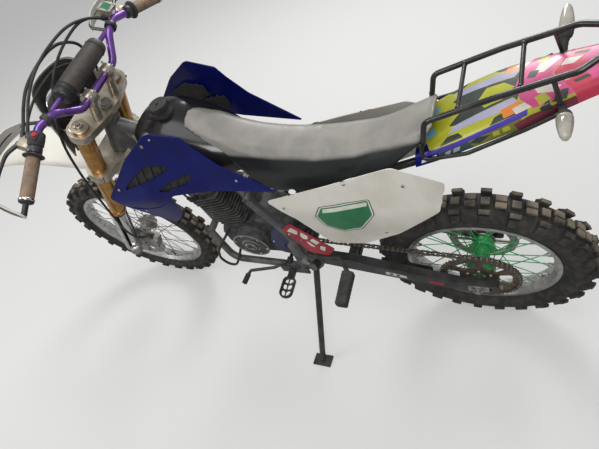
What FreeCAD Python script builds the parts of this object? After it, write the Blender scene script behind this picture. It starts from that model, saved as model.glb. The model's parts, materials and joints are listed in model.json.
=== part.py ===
# A dirt bike, full size, parked leaning on its side stand.
# It is modelled upright first: x forward of the rear axle, y to its left, z up, in millimetres and degrees.
# At the end it is leaned over to its left and set down with its box's bottom centre at the origin.
import FreeCAD, Part
import os
from math import acos, atan2, cos, pi, radians, sin, sqrt, tan

# Stance
wheelbase = 1440.0
lean = 10.83
rake = 27.2
seat_gap = 0.3
running_gap = 0.05

# Wheels, one row each: rim bead radius, rim half width, tyre side half width and its radius,
# crown half width and radius, lug tip radius, rows of lugs, centre lug half width
wheels = {
    "rear": dict(bead=228.5, rim_half=29.0, side_half=53.0, side_r=282.0, crown_half=36.0, crown_r=319.0,
                 tip_r=337.0, rows=26, lug_half=20.0, lug_long=25.0, spokes=36),
    "front": dict(bead=266.7, rim_half=22.0, side_half=41.0, side_r=303.0, crown_half=28.0, crown_r=336.0,
                  tip_r=352.5, rows=28, lug_half=15.0, lug_long=23.0, spokes=36),
}
rim_depth = 15.0
flange_rise = 8.5
flange_thick = 2.5
spoke_thick = 3.2
axle_r = 10.0
hub_barrel_r = 26.0
hub_flange_r = 44.0
hub_flange_thick = 6.0
hub_end_r = 34.0

# Fork and steering
fork_offset = 31.0
fork_cap = 21.0
fork_half = 103.0
fork_outer_r = 27.0
fork_inner_r = 20.5
fork_outer_low = 361.0
lower_clamp_at = 636.0
lower_clamp_high = 40.0
top_clamp_at = 846.0
top_clamp_high = 28.0
stem_r = 14.0
head_r = 29.0
head_gap = 6.0

# Chain drive
chain_pitch = 15.875
rear_teeth = 48
front_teeth = 13
chain_line = 72.0
chain_plate = 2.0
chain_inside = 4.6
chain_half_high = 7.0
sprocket_thick = 5.8

# Engine and frame
crank = (790.0, 465.0)
cylinder_tilt = 17.0
sprocket_shaft = (640.0, 478.0)
pivot = (560.0, 455.0)
pivot_half = 122.0
arm_inside = 88.0
pivot_bolt_r = 9.9
frame_tube_r = 14.0
spine_r = 22.0
spine_bend = (760.0, 905.0)
tunnel_half = 30.0

# Side stand: pivot and foot, upright
stand_pivot = (512.0, 151.0, 470.0)
stand_foot = (553.0, 369.0)
stand_r = 11.0
stand_fold = (-0.985, 0.10, 0.14)

# Handlebar
bar_r = 11.0
grip_long = 120.0
grip_r = 17.0


def V(x, y, z):
    return FreeCAD.Vector(x, y, z)


def rod(start, end, r):
    """A round bar between two points."""
    along = V(*end) - V(*start)
    return Part.makeCylinder(r, along.Length, V(*start), along)


def block(x0, x1, y0, y1, z0, z1):
    """A box by its low and high corners."""
    return Part.makeBox(x1 - x0, y1 - y0, z1 - z0, V(x0, y0, z0))


def rounded(points):
    """The edges of a closed outline; each point is a vector and the radius of its corner."""
    edges = []
    count = len(points)
    ends = []
    for i in range(count):
        here, r = points[i]
        before = (points[i - 1][0] - here).normalize()
        after = (points[(i + 1) % count][0] - here).normalize()
        if r <= 0:
            ends.append((here, here, None))
            continue
        half = before.getAngle(after) / 2
        cut = r / tan(half)
        middle = here + (before + after).normalize() * (r / sin(half) - r)
        ends.append((here + before * cut, here + after * cut, middle))
    for i in range(count):
        first, last, middle = ends[i]
        if middle is not None:
            edges.append(Part.Arc(first, middle, last).toShape())
        follow = ends[(i + 1) % count][0]
        if (follow - last).Length > 0.01:
            edges.append(Part.LineSegment(last, follow).toShape())
    return Part.Wire(edges)


def side_plate(points, y0, y1):
    """A plate drawn in side view, points of x, z and corner radius, from y0 to y1."""
    wire = rounded([(V(x, y0, z), r) for x, z, r in points])
    return Part.Face(wire).extrude(V(0, y1 - y0, 0))


def tube(points, r):
    """A round tube along straight runs; each point is x, y, z and its bend radius."""
    path = []
    last = V(*points[0][:3])
    for i in range(1, len(points) - 1):
        x, y, z, bend = points[i]
        here = V(x, y, z)
        before = (V(*points[i - 1][:3]) - here).normalize()
        after = (V(*points[i + 1][:3]) - here).normalize()
        half = before.getAngle(after) / 2
        cut = bend / tan(half)
        middle = here + (before + after).normalize() * (bend / sin(half) - bend)
        path.append(Part.LineSegment(last, here + before * cut).toShape())
        path.append(Part.Arc(here + before * cut, middle, here + after * cut).toShape())
        last = here + after * cut
    path.append(Part.LineSegment(last, V(*points[-1][:3])).toShape())
    start = V(*points[0][:3])
    ring = Part.Wire([Part.Circle(start, V(*points[1][:3]) - start, r).toShape()])
    return Part.Wire(path).makePipeShell([ring], True, True)


def mirror(shape):
    """The same shape on the bike's other side."""
    return shape.mirror(V(0, 0, 0), V(0, 1, 0))


def both(shape):
    return [shape, mirror(shape)]


def fuse(shapes):
    return shapes[0].multiFuse(shapes[1:])


def lathe(points, centre):
    """A turned body about a line along y; points of y and radius, taken anticlockwise."""
    x, z = centre
    turn = sum(a[0] * b[1] - b[0] * a[1] for a, b in zip(points, points[1:] + points[:1]))
    if turn < 0:
        points = points[::-1]
    wire = Part.makePolygon([V(x, y, z + r) for y, r in points + points[:1]])
    return Part.Face(wire).revolve(V(x, 0, z), V(0, 1, 0), 360)


def loft(sections):
    """A body through sections, each a list of x, y, z corners, as flat strips."""
    wires = [Part.makePolygon([V(*p) for p in s + s[:1]]) for s in sections]
    return Part.makeLoft(wires, True, True)


def facet_ring(rows, sides):
    """A ring about the y axis whose section has corners at rows of y and radius, with flat sides all round."""
    corner = 1 / cos(pi / sides)

    def spot(y, r, i):
        turn = 2 * pi * (i + 0.5) / sides
        return V(r * corner * cos(turn), y, r * corner * sin(turn))
    faces = []
    for (y0, r0), (y1, r1) in zip(rows, rows[1:] + rows[:1]):
        for i in range(sides):
            corners = [spot(y0, r0, i), spot(y1, r1, i), spot(y1, r1, i + 1), spot(y0, r0, i + 1)]
            faces.append(Part.Face(Part.makePolygon(corners + corners[:1])))
    return Part.Solid(Part.Shell(faces))


def fork_point(up, side=0.0, ahead=0.0):
    """A place on the fork: up along it from the front axle, to the left, and ahead of its tubes."""
    s, c = sin(radians(rake)), cos(radians(rake))
    x = wheelbase - s * up + c * ahead
    z = axle_height["front"] + c * up + s * ahead
    return V(x, side, z)


# Each wheel's axle height is where its leaned tyre just reaches the ground.
def tyre(size):
    """A tyre whose body has one flat per row of lugs, so that each lug stands on a plane."""
    bead_half = size["rim_half"] - 2.0
    half = [(bead_half, size["bead"] + seat_gap), (bead_half, size["bead"] + flange_rise + 2),
            (size["side_half"], size["side_r"]), (size["crown_half"], size["crown_r"])]
    body = facet_ring([(-y, r) for y, r in half] + [(y, r) for y, r in reversed(half)], size["rows"])
    tip = size["tip_r"]
    edge = size["crown_half"]
    root = size["crown_r"] - 6.0
    centre_lug = [(-size["lug_half"], root), (-size["lug_half"] + 2, tip), (size["lug_half"] - 2, tip),
                  (size["lug_half"], root)]
    shoulder_lug = [(edge - 5, root), (edge - 4, tip - 2), (edge + 9, tip - 6), (size["side_half"] + 4, tip - 32),
                    (size["side_half"] - 8, tip - 44)]
    lugs = []
    for row in range(size["rows"]):
        for profile, shift in ((centre_lug, 0.25), (shoulder_lug, -0.25)):
            wire = Part.makePolygon([V(-size["lug_long"] / 2, y, -r) for y, r in profile + profile[:1]])
            lug = Part.Face(wire).extrude(V(size["lug_long"], 0, 0))
            for one in both(lug) if shift < 0 else [lug]:
                one.rotate(V(0, 0, 0), V(0, 1, 0), (row + shift) * 360.0 / size["rows"])
                lugs.append(one)
    return body.multiFuse(lugs)


tyres = {name: tyre(size) for name, size in wheels.items()}
axle_height = {}
for name, shape in tyres.items():
    leaned = shape.copy()
    leaned.rotate(V(0, 0, 0), V(1, 0, 0), -lean)
    axle_height[name] = -leaned.optimalBoundingBox(False, False).ZMin / cos(radians(lean))
axle_place = {"rear": V(0, 0, axle_height["rear"]), "front": V(wheelbase, 0, axle_height["front"])}


def at_axle(shape, name):
    shape.translate(axle_place[name])
    return shape


def rim(size):
    """A rim section: bead seat, two flanges, and a floor for the spokes."""
    r, half = size["bead"], size["rim_half"]
    side = [(half * 0.45, r - rim_depth), (half + flange_thick, r - 5), (half + flange_thick, r + flange_rise),
            (half, r + flange_rise), (half - 1.5, r)]
    return lathe(side + [(-y, z) for y, z in reversed(side)], (0, 0))


def hub(half, left_face, right_face):
    """A hub: barrel, two spoke flanges half apart, and its faces for sprocket or disc."""
    thick = hub_flange_thick / 2
    bore = axle_r + running_gap
    points = [(right_face, bore), (right_face, hub_end_r), (-half - thick - 4, hub_end_r)]
    for y in (-half, half):
        points += [(y - thick, hub_barrel_r), (y - thick, hub_flange_r), (y + thick, hub_flange_r),
                   (y + thick, hub_barrel_r)]
    points += [(half + thick + 4, hub_end_r), (left_face, hub_end_r), (left_face, bore)]
    return lathe(points, (0, 0))


def spokes(size, half):
    """Spokes from alternate flanges, leaning forward and back in turn, stopped just short of rim and flange."""
    inner_r = hub_flange_r + spoke_thick / 2 + seat_gap
    outer_r = size["bead"] - rim_depth - 2 * seat_gap
    bars = []
    count = size["spokes"]
    for i in range(count):
        side = 1 if i % 2 == 0 else -1
        swing = 1 if (i // 2) % 2 == 0 else -1
        rim_turn = 2 * pi * i / count
        hub_turn = rim_turn + swing * radians(62.0)
        a = V(inner_r * cos(hub_turn), side * (half + swing * 2.0), inner_r * sin(hub_turn))
        b = V(outer_r * cos(rim_turn), side * 4.0, outer_r * sin(rim_turn))
        along = (b - a).normalize()
        across = along.cross(V(0, 1, 0)).normalize() * (spoke_thick / 2)
        up = along.cross(across).normalize() * (spoke_thick / 2)
        corners = [a + across + up, a + across - up, a - across - up, a - across + up]
        bars.append(Part.Face(Part.makePolygon(corners + corners[:1])).extrude(b - a))
    return Part.makeCompound(bars)


def disc(outer, inner, y, thick, carrier_r, arms):
    """A brake disc: a ring on arms from its centre."""
    ring = Part.makeCylinder(outer, thick, V(0, y, 0), V(0, 1, 0)).cut(
        Part.makeCylinder(inner, thick, V(0, y, 0), V(0, 1, 0)))
    centre = Part.makeCylinder(carrier_r, thick, V(0, y, 0), V(0, 1, 0))
    shapes = [ring, centre]
    for i in range(arms):
        arm = block(0, inner + 4, y, y + thick, -6, 6)
        arm.rotate(V(0, 0, 0), V(0, 1, 0), 360.0 * i / arms)
        shapes.append(arm)
    whole = fuse(shapes)
    return whole.cut(Part.makeCylinder(carrier_r - 8, thick, V(0, y, 0), V(0, 1, 0)))


def pitch_radius(teeth):
    return chain_pitch / (2 * sin(pi / teeth))


def toothed(teeth, rise):
    """A sprocket plate with one tooth after another round its edge, rising that far over the pitch circle."""
    r = pitch_radius(teeth)
    rows = [(-0.34, -5.0), (-0.12, rise), (0.12, rise), (0.34, -5.0)]
    points = []
    for tooth in range(teeth):
        for share, out in rows:
            turn = (tooth + share) * 2 * pi / teeth
            points.append(V((r + out) * cos(turn), chain_line - sprocket_thick / 2, (r + out) * sin(turn)))
    return Part.Face(Part.makePolygon(points + points[:1])).extrude(V(0, sprocket_thick, 0))


def rear_sprocket():
    """The toothed plate with windows between its arms; its centre seats on the hub's face."""
    plate = toothed(rear_teeth, 4.4)
    cuts = [Part.makeCylinder(24.0, sprocket_thick, V(0, chain_line - sprocket_thick / 2, 0), V(0, 1, 0))]
    for i in range(6):
        window = side_plate([(60, -26, 8), (98, -36, 8), (98, 36, 8), (60, 26, 8)],
                            chain_line - sprocket_thick, chain_line + sprocket_thick)
        window.rotate(V(0, 0, 0), V(0, 1, 0), 60.0 * i)
        cuts.append(window)
    return plate.cut(Part.makeCompound(cuts))


def belt(grow, y0, y1):
    """The area inside the chain's path, grown outward, as a plate."""
    xa, za, ra = 0.0, axle_height["rear"], pitch_radius(rear_teeth) + grow
    xb, zb, rb = sprocket_shaft[0], sprocket_shaft[1], pitch_radius(front_teeth) + grow
    gap = sqrt((xb - xa) ** 2 + (zb - za) ** 2)
    line = atan2(zb - za, xb - xa)
    wrap = acos((ra - rb) / gap)
    up, down = line + wrap, line - wrap

    def spot(x, z, r, turn):
        return V(x + r * cos(turn), y0, z + r * sin(turn))
    back = Part.Arc(spot(xa, za, ra, up), spot(xa, za, ra, line + pi), spot(xa, za, ra, down))
    nose = Part.Arc(spot(xb, zb, rb, down), spot(xb, zb, rb, line), spot(xb, zb, rb, up))
    low = Part.LineSegment(spot(xa, za, ra, down), spot(xb, zb, rb, down))
    high = Part.LineSegment(spot(xb, zb, rb, up), spot(xa, za, ra, up))
    wire = Part.Wire([back.toShape(), low.toShape(), nose.toShape(), high.toShape()])
    return Part.Face(wire).extrude(V(0, y1 - y0, 0))


def chain():
    """One loop of link plates over the sprockets, closed along its outside clear of the teeth."""
    out = chain_inside + chain_plate
    y0, y1 = chain_line - out, chain_line + out
    loop = belt(chain_half_high, y0, y1).cut(belt(-chain_half_high, y0, y1))
    groove = belt(chain_half_high - 1.5, chain_line - chain_inside, chain_line + chain_inside)
    return loop.cut(groove)


def swingarm():
    """Two arms of box tube, a pivot tube and a bridge ahead of the tyre."""
    z0 = axle_height["rear"]
    x1, z1 = pivot
    arm = side_plate([(-62, z0 + 20, 12), (-62, z0 - 22, 12), (60, z0 - 26, 20), (x1 - 120, z1 - 58, 60),
                      (x1 + 12, z1 - 26, 10), (x1 + 12, z1 + 24, 10), (x1 - 160, z1 + 2, 60), (60, z0 + 24, 30)],
                     arm_inside, arm_inside + 28)
    slot_half = axle_r + seat_gap
    slot = side_plate([(-40, z0 + slot_half, 8), (-40, z0 - slot_half, 8), (24, z0 - slot_half, 8),
                       (24, z0 + slot_half, 8)], 80, 120)
    bore = Part.makeCylinder(pivot_bolt_r + seat_gap, 300, V(x1, -150, z1), V(0, 1, 0))
    arms = [a.cut(s) for a, s in zip(both(arm), both(slot))]
    cross = Part.makeCylinder(19.0, 200, V(x1, -100, z1), V(0, 1, 0))
    bridge = side_plate([(x1 - 178, z1 - 56, 10), (x1 - 138, z1 - 52, 10), (x1 - 138, z1 - 12, 10),
                         (x1 - 178, z1 - 16, 10)], -90, 90)
    return fuse(arms + [cross, bridge]).cut(bore)


def rear_axle():
    """The rear spindle with its head and nut outside the arms."""
    bar = Part.makeCylinder(axle_r, 264, V(0, -132, axle_height["rear"]), V(0, 1, 0))
    nuts = [Part.makeCylinder(16, 9, V(0, y, axle_height["rear"]), V(0, 1, 0))
            for y in (-arm_inside - 37, arm_inside + 28)]
    return fuse([bar] + nuts)


def head_tube_ends():
    top = fork_point(top_clamp_at - top_clamp_high / 2 - head_gap, 0, -fork_offset)
    low = fork_point(lower_clamp_at + lower_clamp_high / 2 + head_gap, 0, -fork_offset)
    return top, low


def spine_front():
    """Where the spine meets the head tube."""
    top, low = head_tube_ends()
    return top - (top - low).normalize() * 45


def spine_at(x):
    """The spine's height at x, between its bend and the head tube."""
    front = spine_front()
    bend_x, bend_z = spine_bend
    return bend_z + (front.z - bend_z) * (x - bend_x) / (front.x - bend_x)


def frame():
    """Spine, down tube, cradle and rear posts, welded to the head tube and the pivot plates."""
    top, low = head_tube_ends()
    head = Part.makeCylinder(head_r, (top - low).Length, low, top - low)
    front = spine_front()
    down_start = low + (top - low).normalize() * 70
    bend_x, bend_z = spine_bend
    spine = tube([(front.x, 0, front.z, 0), (bend_x, 0, bend_z, 60), (640, 0, 800, 0)], spine_r)
    down = tube([(down_start.x, 0, down_start.z, 0), (985, 0, 720, 150), (975, 0, 480, 0)], spine_r - 4)
    cross = rod((640, -120, 800), (640, 120, 800), frame_tube_r)
    rubbers = [rod((x, -tunnel_half, spine_at(x)), (x, tunnel_half, spine_at(x)), 11.0) for x in (850, 930)]
    fork_joint = rod((978, -60, 482), (978, 60, 482), frame_tube_r)
    x, z = pivot
    cradle = tube([(978, 60, 482, 0), (930, 92, 338, 60), (650, 92, 330, 70), (x + 20, 134, z - 48, 0)],
                  frame_tube_r)
    post = tube([(x - 4, 134, z + 56, 0), (x - 10, 132, z + 180, 200), (640, 112, 800, 0)], frame_tube_r)
    plate = side_plate([(x - 60, z - 26, 15), (x - 30, z - 62, 20), (x + 42, z - 72, 20), (x + 34, z + 110, 20),
                        (x - 20, z + 120, 20), (x - 60, z + 34, 15)], pivot_half, pivot_half + 10)
    pin_hole = Part.makeCylinder(pivot_bolt_r + 0.1, 400, V(pivot[0], -200, pivot[1]), V(0, 1, 0))
    whole = fuse([head, spine, down, cross, fork_joint] + rubbers + both(cradle) + both(post) + both(plate))
    bearing = Part.makeCylinder(stem_r + running_gap, (top - low).Length, low, top - low)
    return fuse([whole.cut(bearing).cut(pin_hole), stand_bracket()])


def pivot_bolt():
    x, z = pivot
    bar = Part.makeCylinder(pivot_bolt_r, 276, V(x, -138, z), V(0, 1, 0))
    heads = [Part.makeCylinder(15, 8, V(x, y, z), V(0, 1, 0)) for y in (-pivot_half - 18, pivot_half + 10)]
    return fuse([bar] + heads)


def subframe():
    """Upper rails and stays that carry the seat, tail and rack."""
    rail = tube([(634, 62, 804, 0), (330, 62, 832, 200), (120, 62, 925, 150), (-152, 62, 1096, 0)], 10.0)
    stay = tube([(550, 130, 600, 0), (480, 104, 660, 60), (200, 64, 890, 0)], 9.0)
    ties = [rod((x, -62, z), (x, 62, z), 8.0) for x, z in ((420, 824), (60, 963), (-50, 1032))]
    return fuse(both(rail) + both(stay) + ties)


def deck(across, up):
    """A place in side view by the cylinder's axis: across it to the front, and up it from the crank."""
    s, c = sin(radians(cylinder_tilt)), cos(radians(cylinder_tilt))
    return crank[0] + across * c + up * s, crank[1] - across * s + up * c


def tilted(shape):
    """Turn a part drawn on the cylinder's axis to its place over the crank."""
    shape.rotate(V(0, 0, 0), V(0, 1, 0), cylinder_tilt)
    shape.translate(V(crank[0], 0, crank[1]))
    return shape


def slab(half_x, half_y, z0, z1, r):
    """A plate with rounded corners across the cylinder's axis."""
    corners = [V(-half_x, -half_y, z0), V(half_x, -half_y, z0), V(half_x, half_y, z0), V(-half_x, half_y, z0)]
    return Part.Face(rounded([(c, r) for c in corners])).extrude(V(0, 0, z1 - z0))


def engine_case():
    """The crankcase with the round generator cover on its left."""
    x, z = crank
    case = side_plate([(x - 185, z - 70, 25), (x - 130, z - 104, 30), (x + 60, z - 106, 45), (x + 132, z - 60, 35),
                       (x + 130, z + 20, 20), deck(80, 95.7) + (10,), deck(-80, 95.7) + (10,),
                       (x - 190, z + 62, 30)], -84, 56)
    cover = Part.makeCylinder(72, 40, V(x, 56, z), V(0, 1, 0))
    cap = Part.makeCylinder(30, 6, V(x, 96, z), V(0, 1, 0))
    return fuse([case, cover, cap, clutch_cover(), output_sprocket()])


def output_sprocket():
    """The gearbox shaft and the front sprocket, whose teeth reach the chain's channel."""
    x, z = sprocket_shaft
    plate = toothed(front_teeth, 5.3)
    plate.translate(V(x, 0, z))
    return fuse([plate, rod((x, 50, z), (x, chain_line + 4, z), 14.0)])


def clutch_cover():
    x, z = crank
    return side_plate([(x - 120, z - 60, 40), (x + 60, z - 80, 50), (x + 95, z + 20, 40), (x + 30, z + 74, 40),
                       (x - 110, z + 70, 40)], -112, -84)


def engine_cylinder():
    """The barrel with its cooling fins."""
    fins = [slab(66, 70, 118 + i * 13.0, 122 + i * 13.0, 14) for i in range(9)]
    return tilted(fuse([Part.makeCylinder(50, 142, V(0, 0, 96), V(0, 0, 1))] + fins))


def engine_head():
    """The head: three fins, the cam box and its cover."""
    fins = [slab(68, 72, 239 + i * 13.0, 244 + i * 13.0, 14) for i in range(3)]
    core = slab(52, 58, 238.3, 300, 12)
    cover = slab(58, 46, 300, 330, 16)
    return tilted(fuse(fins + [core, cover]))


def sprocket_cover():
    """A cover over the front sprocket, open to the rear for the chain."""
    x, z = sprocket_shaft
    r = pitch_radius(front_teeth) + chain_half_high
    outer = side_plate([(x - 48, z - r - 34, 8), (x + r + 4, z - r - 11, 25), (x + r + 12, z + 30, 20),
                        (x + 20, z + 100, 15), (x - 48, z + 90, 10)], 56.3, 90)
    pocket = side_plate([(x - 60, z - r - 29, 0), (x + r + 1, z - r - 5, 20), (x + r + 6, z + r + 5, 20),
                         (x - 60, z + r + 5, 0)], 50, 84)
    window = Part.makeCylinder(7, 20, V(x + 2, 75, z), V(0, 1, 0))
    return outer.cut(pocket).cut(window)


def carburettor():
    body = fuse([rod((800, 0, 715), (648, 0, 742), 24), rod((735, 0, 726), (728, 0, 668), 26),
                 rod((735, 0, 726), (746, 0, 790), 19)])
    return body


def airbox():
    return side_plate([(330, 700, 20), (440, 680, 20), (500, 720, 20), (505, 819, 10), (330, 819, 10)], -50, 50)


def shock():
    """Damper, spring as a plain sleeve with collars, and reservoir eyelets."""
    low, high = (pivot[0] - 155, 0, pivot[1] + 6), (560, 0, 778)
    along = (V(*high) - V(*low)).normalize()
    length = (V(*high) - V(*low)).Length
    parts = [Part.makeCylinder(14, length, V(*low), along)]
    for i in range(8):
        parts.append(Part.makeCylinder(31, 9, V(*low) + along * (60 + i * 27), along))
    for end in (low, high):
        parts.append(Part.makeCylinder(19, 28, V(end[0], -14, end[2]), V(0, 1, 0)))
    return fuse(parts)


def exhaust_header():
    return tube([(930, -30, 738, 0), (1000, -62, 716, 38), (1000, -112, 600, 60), (820, -140, 578, 70),
                 (620, -176, 640, 120), (455, -200, 712, 0)], 19.0)


def muffler():
    can = rod((455, -200, 712), (95, -214, 800), 45.0)
    tip = rod((95, -214, 800), (45, -216, 812), 16.0)
    strap = block(225, 255, -175, -62, 868, 874)
    leg = block(225, 255, -175, -171, 800, 874)
    return fuse([can, tip, strap, leg])


def fuel_tank():
    """A saddle tank over the spine."""
    rows = [(600, 950, 880, 60), (700, 1012, 880, 100), (800, 1062, 890, 118), (870, 1068, 905, 118),
            (930, 1052, 940, 84), (955, 1030, 985, 40)]
    body = loft([[(x, -w, low), (x, w, low), (x, w, low + (top - low) * 0.55), (x, w * 0.5, top),
                  (x, -w * 0.5, top), (x, -w, low + (top - low) * 0.55)] for x, top, low, w in rows])
    bend_x, bend_z = spine_bend
    above = spine_r + 14
    tunnel = side_plate([(560, 700, 0), (1000, 700, 0), (1000, spine_at(1000) + above, 0), (bend_x, bend_z + above, 0),
                         (560, 780, 0)], -tunnel_half, tunnel_half)
    return body.cut(tunnel)


def fuel_cap():
    cap = Part.makeCylinder(30, 20, V(830, 0, 1065.6), V(0, 0, 1))
    vent = Part.makeCylinder(5, 16, V(830, 0, 1085), V(0, 0, 1))
    return fuse([cap, vent])


def seat():
    """The saddle: x, centre top, edge height and half width, lower edge height and half width."""
    rows = [(768, 1062, 1054, 34, 1040, 40), (700, 1030, 1020, 52, 1006, 66), (640, 992, 978, 60, 935, 80),
            (560, 960, 945, 66, 868, 92), (450, 945, 930, 68, 850, 96), (330, 950, 936, 68, 880, 96),
            (200, 976, 962, 62, 925, 90), (110, 1026, 1012, 52, 985, 78), (70, 1050, 1042, 40, 1028, 56)]
    return loft([[(x, -low_w, low), (x, low_w, low), (x, w, edge), (x, w * 0.5, top), (x, -w * 0.5, top),
                  (x, -w, edge)] for x, top, edge, w, low, low_w in rows])


def skin(outline, levels, thick):
    """A thin panel: a side outline kept from a sheet that bends through levels of x and y."""
    wires = []
    for z, line in levels:
        strip = [V(x, y, z) for x, y in line] + [V(x, y - thick, z) for x, y in reversed(line)]
        wires.append(Part.makePolygon(strip + strip[:1]))
    sheet = Part.makeLoft(wires, True, True)
    return sheet.common(side_plate(outline, 20, 320))


def shroud():
    """The left shroud with its two vents."""
    outline = [(496, 876, 0), (630, 994, 30), (672, 1060, 20), (690, 1100, 12), (781, 1124, 15), (900, 1046, 60),
               (1056, 905, 10), (1028, 838, 30), (952, 708, 12), (905, 742, 20), (856, 800, 30), (838, 894, 25),
               (700, 892, 60)]
    levels = [(680, [(480, 132), (700, 140), (900, 150), (1080, 150)]),
              (880, [(480, 132), (700, 150), (900, 190), (1080, 205)]),
              (1140, [(480, 110), (700, 128), (900, 150), (1080, 160)])]
    panel = skin(outline, levels, 5.0)
    vents = [[(944, 957, 4), (862, 1021, 4), (815, 1052, 8), (730, 1062, 5), (812, 1010, 10)],
             [(815, 958, 4), (664, 1036, 5), (694, 1004, 6)]]
    for vent in vents:
        panel = panel.cut(side_plate(vent, 20, 320))
    bosses = [rod((x, 70, z), (x, y, z), 8.0) for x, y, z in ((800, 157, 970), (700, 143, 935))]
    return fuse([panel] + bosses)


def side_panel():
    """The left side panel."""
    outline = [(550, 833, 8), (174, 955, 30), (52, 906, 12), (70, 812, 20), (186, 704, 30), (340, 652, 20),
               (477, 765, 30)]
    levels = [(640, [(30, 132), (340, 146), (560, 146)]), (800, [(30, 132), (340, 150), (560, 146)]),
              (970, [(30, 106), (340, 108), (560, 108)])]
    bosses = [rod((x, 62, z), (x, y, z), 6.0) for x, y, z in ((500, 141, 816), (300, 136, 844), (150, 116, 912))]
    return fuse([skin(outline, levels, 4.0)] + bosses)


def frame_guard():
    """The left guard with the pegs that hold it to the stay and the rear post."""
    plate = side_plate([(556, 690, 12), (514, 736, 14), (438, 640, 20), (404, 596, 14), (440, 546, 14),
                        (500, 560, 20)], 148.3, 151.3)
    pegs = [rod((505, 112, 638), (505, 149, 638), 6.0), rod((574, 127, 686), (538, 150, 668), 5.0)]
    return fuse([plate] + pegs)


# A fender's rows: x, crown height, half width and how far its edges turn down.
tail_rows = [(120, 964, 92, 34), (0, 1044, 98, 34), (-120, 1106, 92, 32), (-230, 1146, 80, 26), (-330, 1166, 62, 16)]
# The front fender's are taken from the front axle.
nose_rows = [(wheelbase + x, axle_height["front"] + z, w, drop) for x, z, w, drop in (
    (-378, 391, 52, 20), (-330, 459, 54, 22), (-250, 517, 58, 22), (-140, 569, 78, 26), (10, 599, 86, 30),
    (160, 593, 84, 28), (300, 553, 74, 22), (410, 497, 56, 14))]


def arch(rows, thick):
    """A fender shell through its rows; a great thickness gives all that lies under it."""
    sections = []
    for x, top, w, drop in rows:
        over = [(x, -w, top - drop), (x, -w + 15, top - 4), (x, w - 15, top - 4), (x, w, top - drop)]
        under = [(x, y * 0.97, z - thick) for _, y, z in reversed(over)]
        sections.append(over + under)
    return loft(sections)


def tail_fender():
    return arch(tail_rows, 3.5)


def rack():
    """The tubular carrier, its four legs cut off on the fender."""
    loop = tube([(104, 76, 940, 0), (84, 82, 1082, 30), (-190, 72, 1186, 40), (-236, 40, 1200, 25),
                 (-236, -40, 1200, 25), (-190, -72, 1186, 40), (84, -82, 1082, 30), (104, -76, 940, 0)], 6.5)
    bars = [rod((x, -w, z), (x, w, z), 5.0) for x, w, z in ((20, 78, 1106), (-70, 75, 1140), (-150, 72, 1171))]
    legs = [rod((-120, side * 70, 1159), (-110, side * 70, 1090), 5.0) for side in (-1, 1)]
    return fuse([loop] + bars + legs).cut(arch(tail_rows, 80))


def tail_light():
    return side_plate([(-330.3, 1170, 3), (-330.3, 1128, 3), (-352, 1134, 8), (-352, 1166, 8)], -52, 52)


def turn_signals():
    bodies = []
    for side in (-1, 1):
        stalk = rod((-168, side * 80, 1092), (-172, side * 150, 1136), 5.0)
        lamp = rod((-190, side * 160, 1144), (-150, side * 160, 1144), 20.0)
        bodies.append(fuse([stalk, lamp]))
    return Part.makeCompound(bodies)


def plate_bracket():
    """The number-plate bracket under the tail, with its two bolt holes."""
    arm = side_plate([(-230, 1140, 0), (-290, 1152, 0), (-300, 1144, 0), (-318, 1010, 0), (-314, 1010, 0),
                      (-292, 1136, 0), (-232, 1132, 0)], -48, 48)
    holes = [Part.makeCylinder(3.5, 80, V(-350, side * 35, 1060), V(1, 0, 0)) for side in (-1, 1)]
    return arm.cut(Part.makeCompound(holes))


def footpeg():
    """A left rider's peg: an open oval frame with cross teeth, on its hanger."""
    z = 372
    ring = Part.Face(rounded([(V(614, 168, z), 18), (V(664, 168, z), 18), (V(664, 250, z), 22),
                              (V(614, 250, z), 22)])).extrude(V(0, 0, 12))
    hole = Part.Face(rounded([(V(620, 176, z), 13), (V(658, 176, z), 13), (V(658, 244, z), 17),
                              (V(620, 244, z), 17)])).extrude(V(0, 0, 12))
    bars = [block(616, 662, y, y + 4, z, z + 10) for y in (194, 218)]
    hanger = fuse([block(628, 652, 132.3, 172, z - 6, z + 10), block(572, 682, 132.3, 140, z - 8, z + 34)])
    return fuse([ring.cut(hole), hanger] + bars)


def passenger_peg():
    boss = rod((524, pivot_half + 10, 516), (524, pivot_half + 22, 516), 12.0)
    arm = tube([(524, 142, 516, 0), (470, 150, 530, 20), (400, 158, 548, 20), (362, 205, 545, 0)], 7.0)
    pad = loft([[(350, 205, 560), (374, 205, 562), (376, 205, 530), (352, 205, 528)],
                [(368, 285, 500), (396, 285, 502), (398, 285, 470), (370, 285, 468)]])
    return fuse([boss, arm, pad])


def shift_lever():
    x, z = 652, 398
    boss = Part.makeCylinder(12, 20, V(x, 100, z), V(0, 1, 0))
    shaft = Part.makeCylinder(7, 62, V(x, 56.3, z), V(0, 1, 0))
    arm = tube([(x, 112, z, 0), (x + 60, 140, z - 12, 20), (x + 160, 160, z - 20, 15), (x + 188, 166, z - 58, 0)], 6.0)
    toe = rod((x + 188, 158, z - 58), (x + 194, 200, z - 60), 9.0)
    return fuse([boss, shaft, arm, toe])


def brake_pedal():
    arm = tube([(668, -152, 384, 0), (740, -156, 368, 40), (820, -162, 386, 0)], 7.0)
    boss = Part.makeCylinder(12, 20, V(668, -160.3, 384), V(0, 1, 0))
    pad = block(812, 850, -180, -145, 384, 392)
    return fuse([arm, boss, pad])


def kick_starter():
    x, z = 690, 520
    shaft = Part.makeCylinder(9, 31.7, V(x, -144, z), V(0, 1, 0))
    arm = tube([(x, -138, z, 0), (x - 40, -134, z + 60, 20), (x - 28, -128, z + 190, 0)], 8.0)
    foot = rod((x - 28, -124, z + 190), (x - 10, -170, z + 196), 7.0)
    return fuse([shaft, arm, foot])


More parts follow.
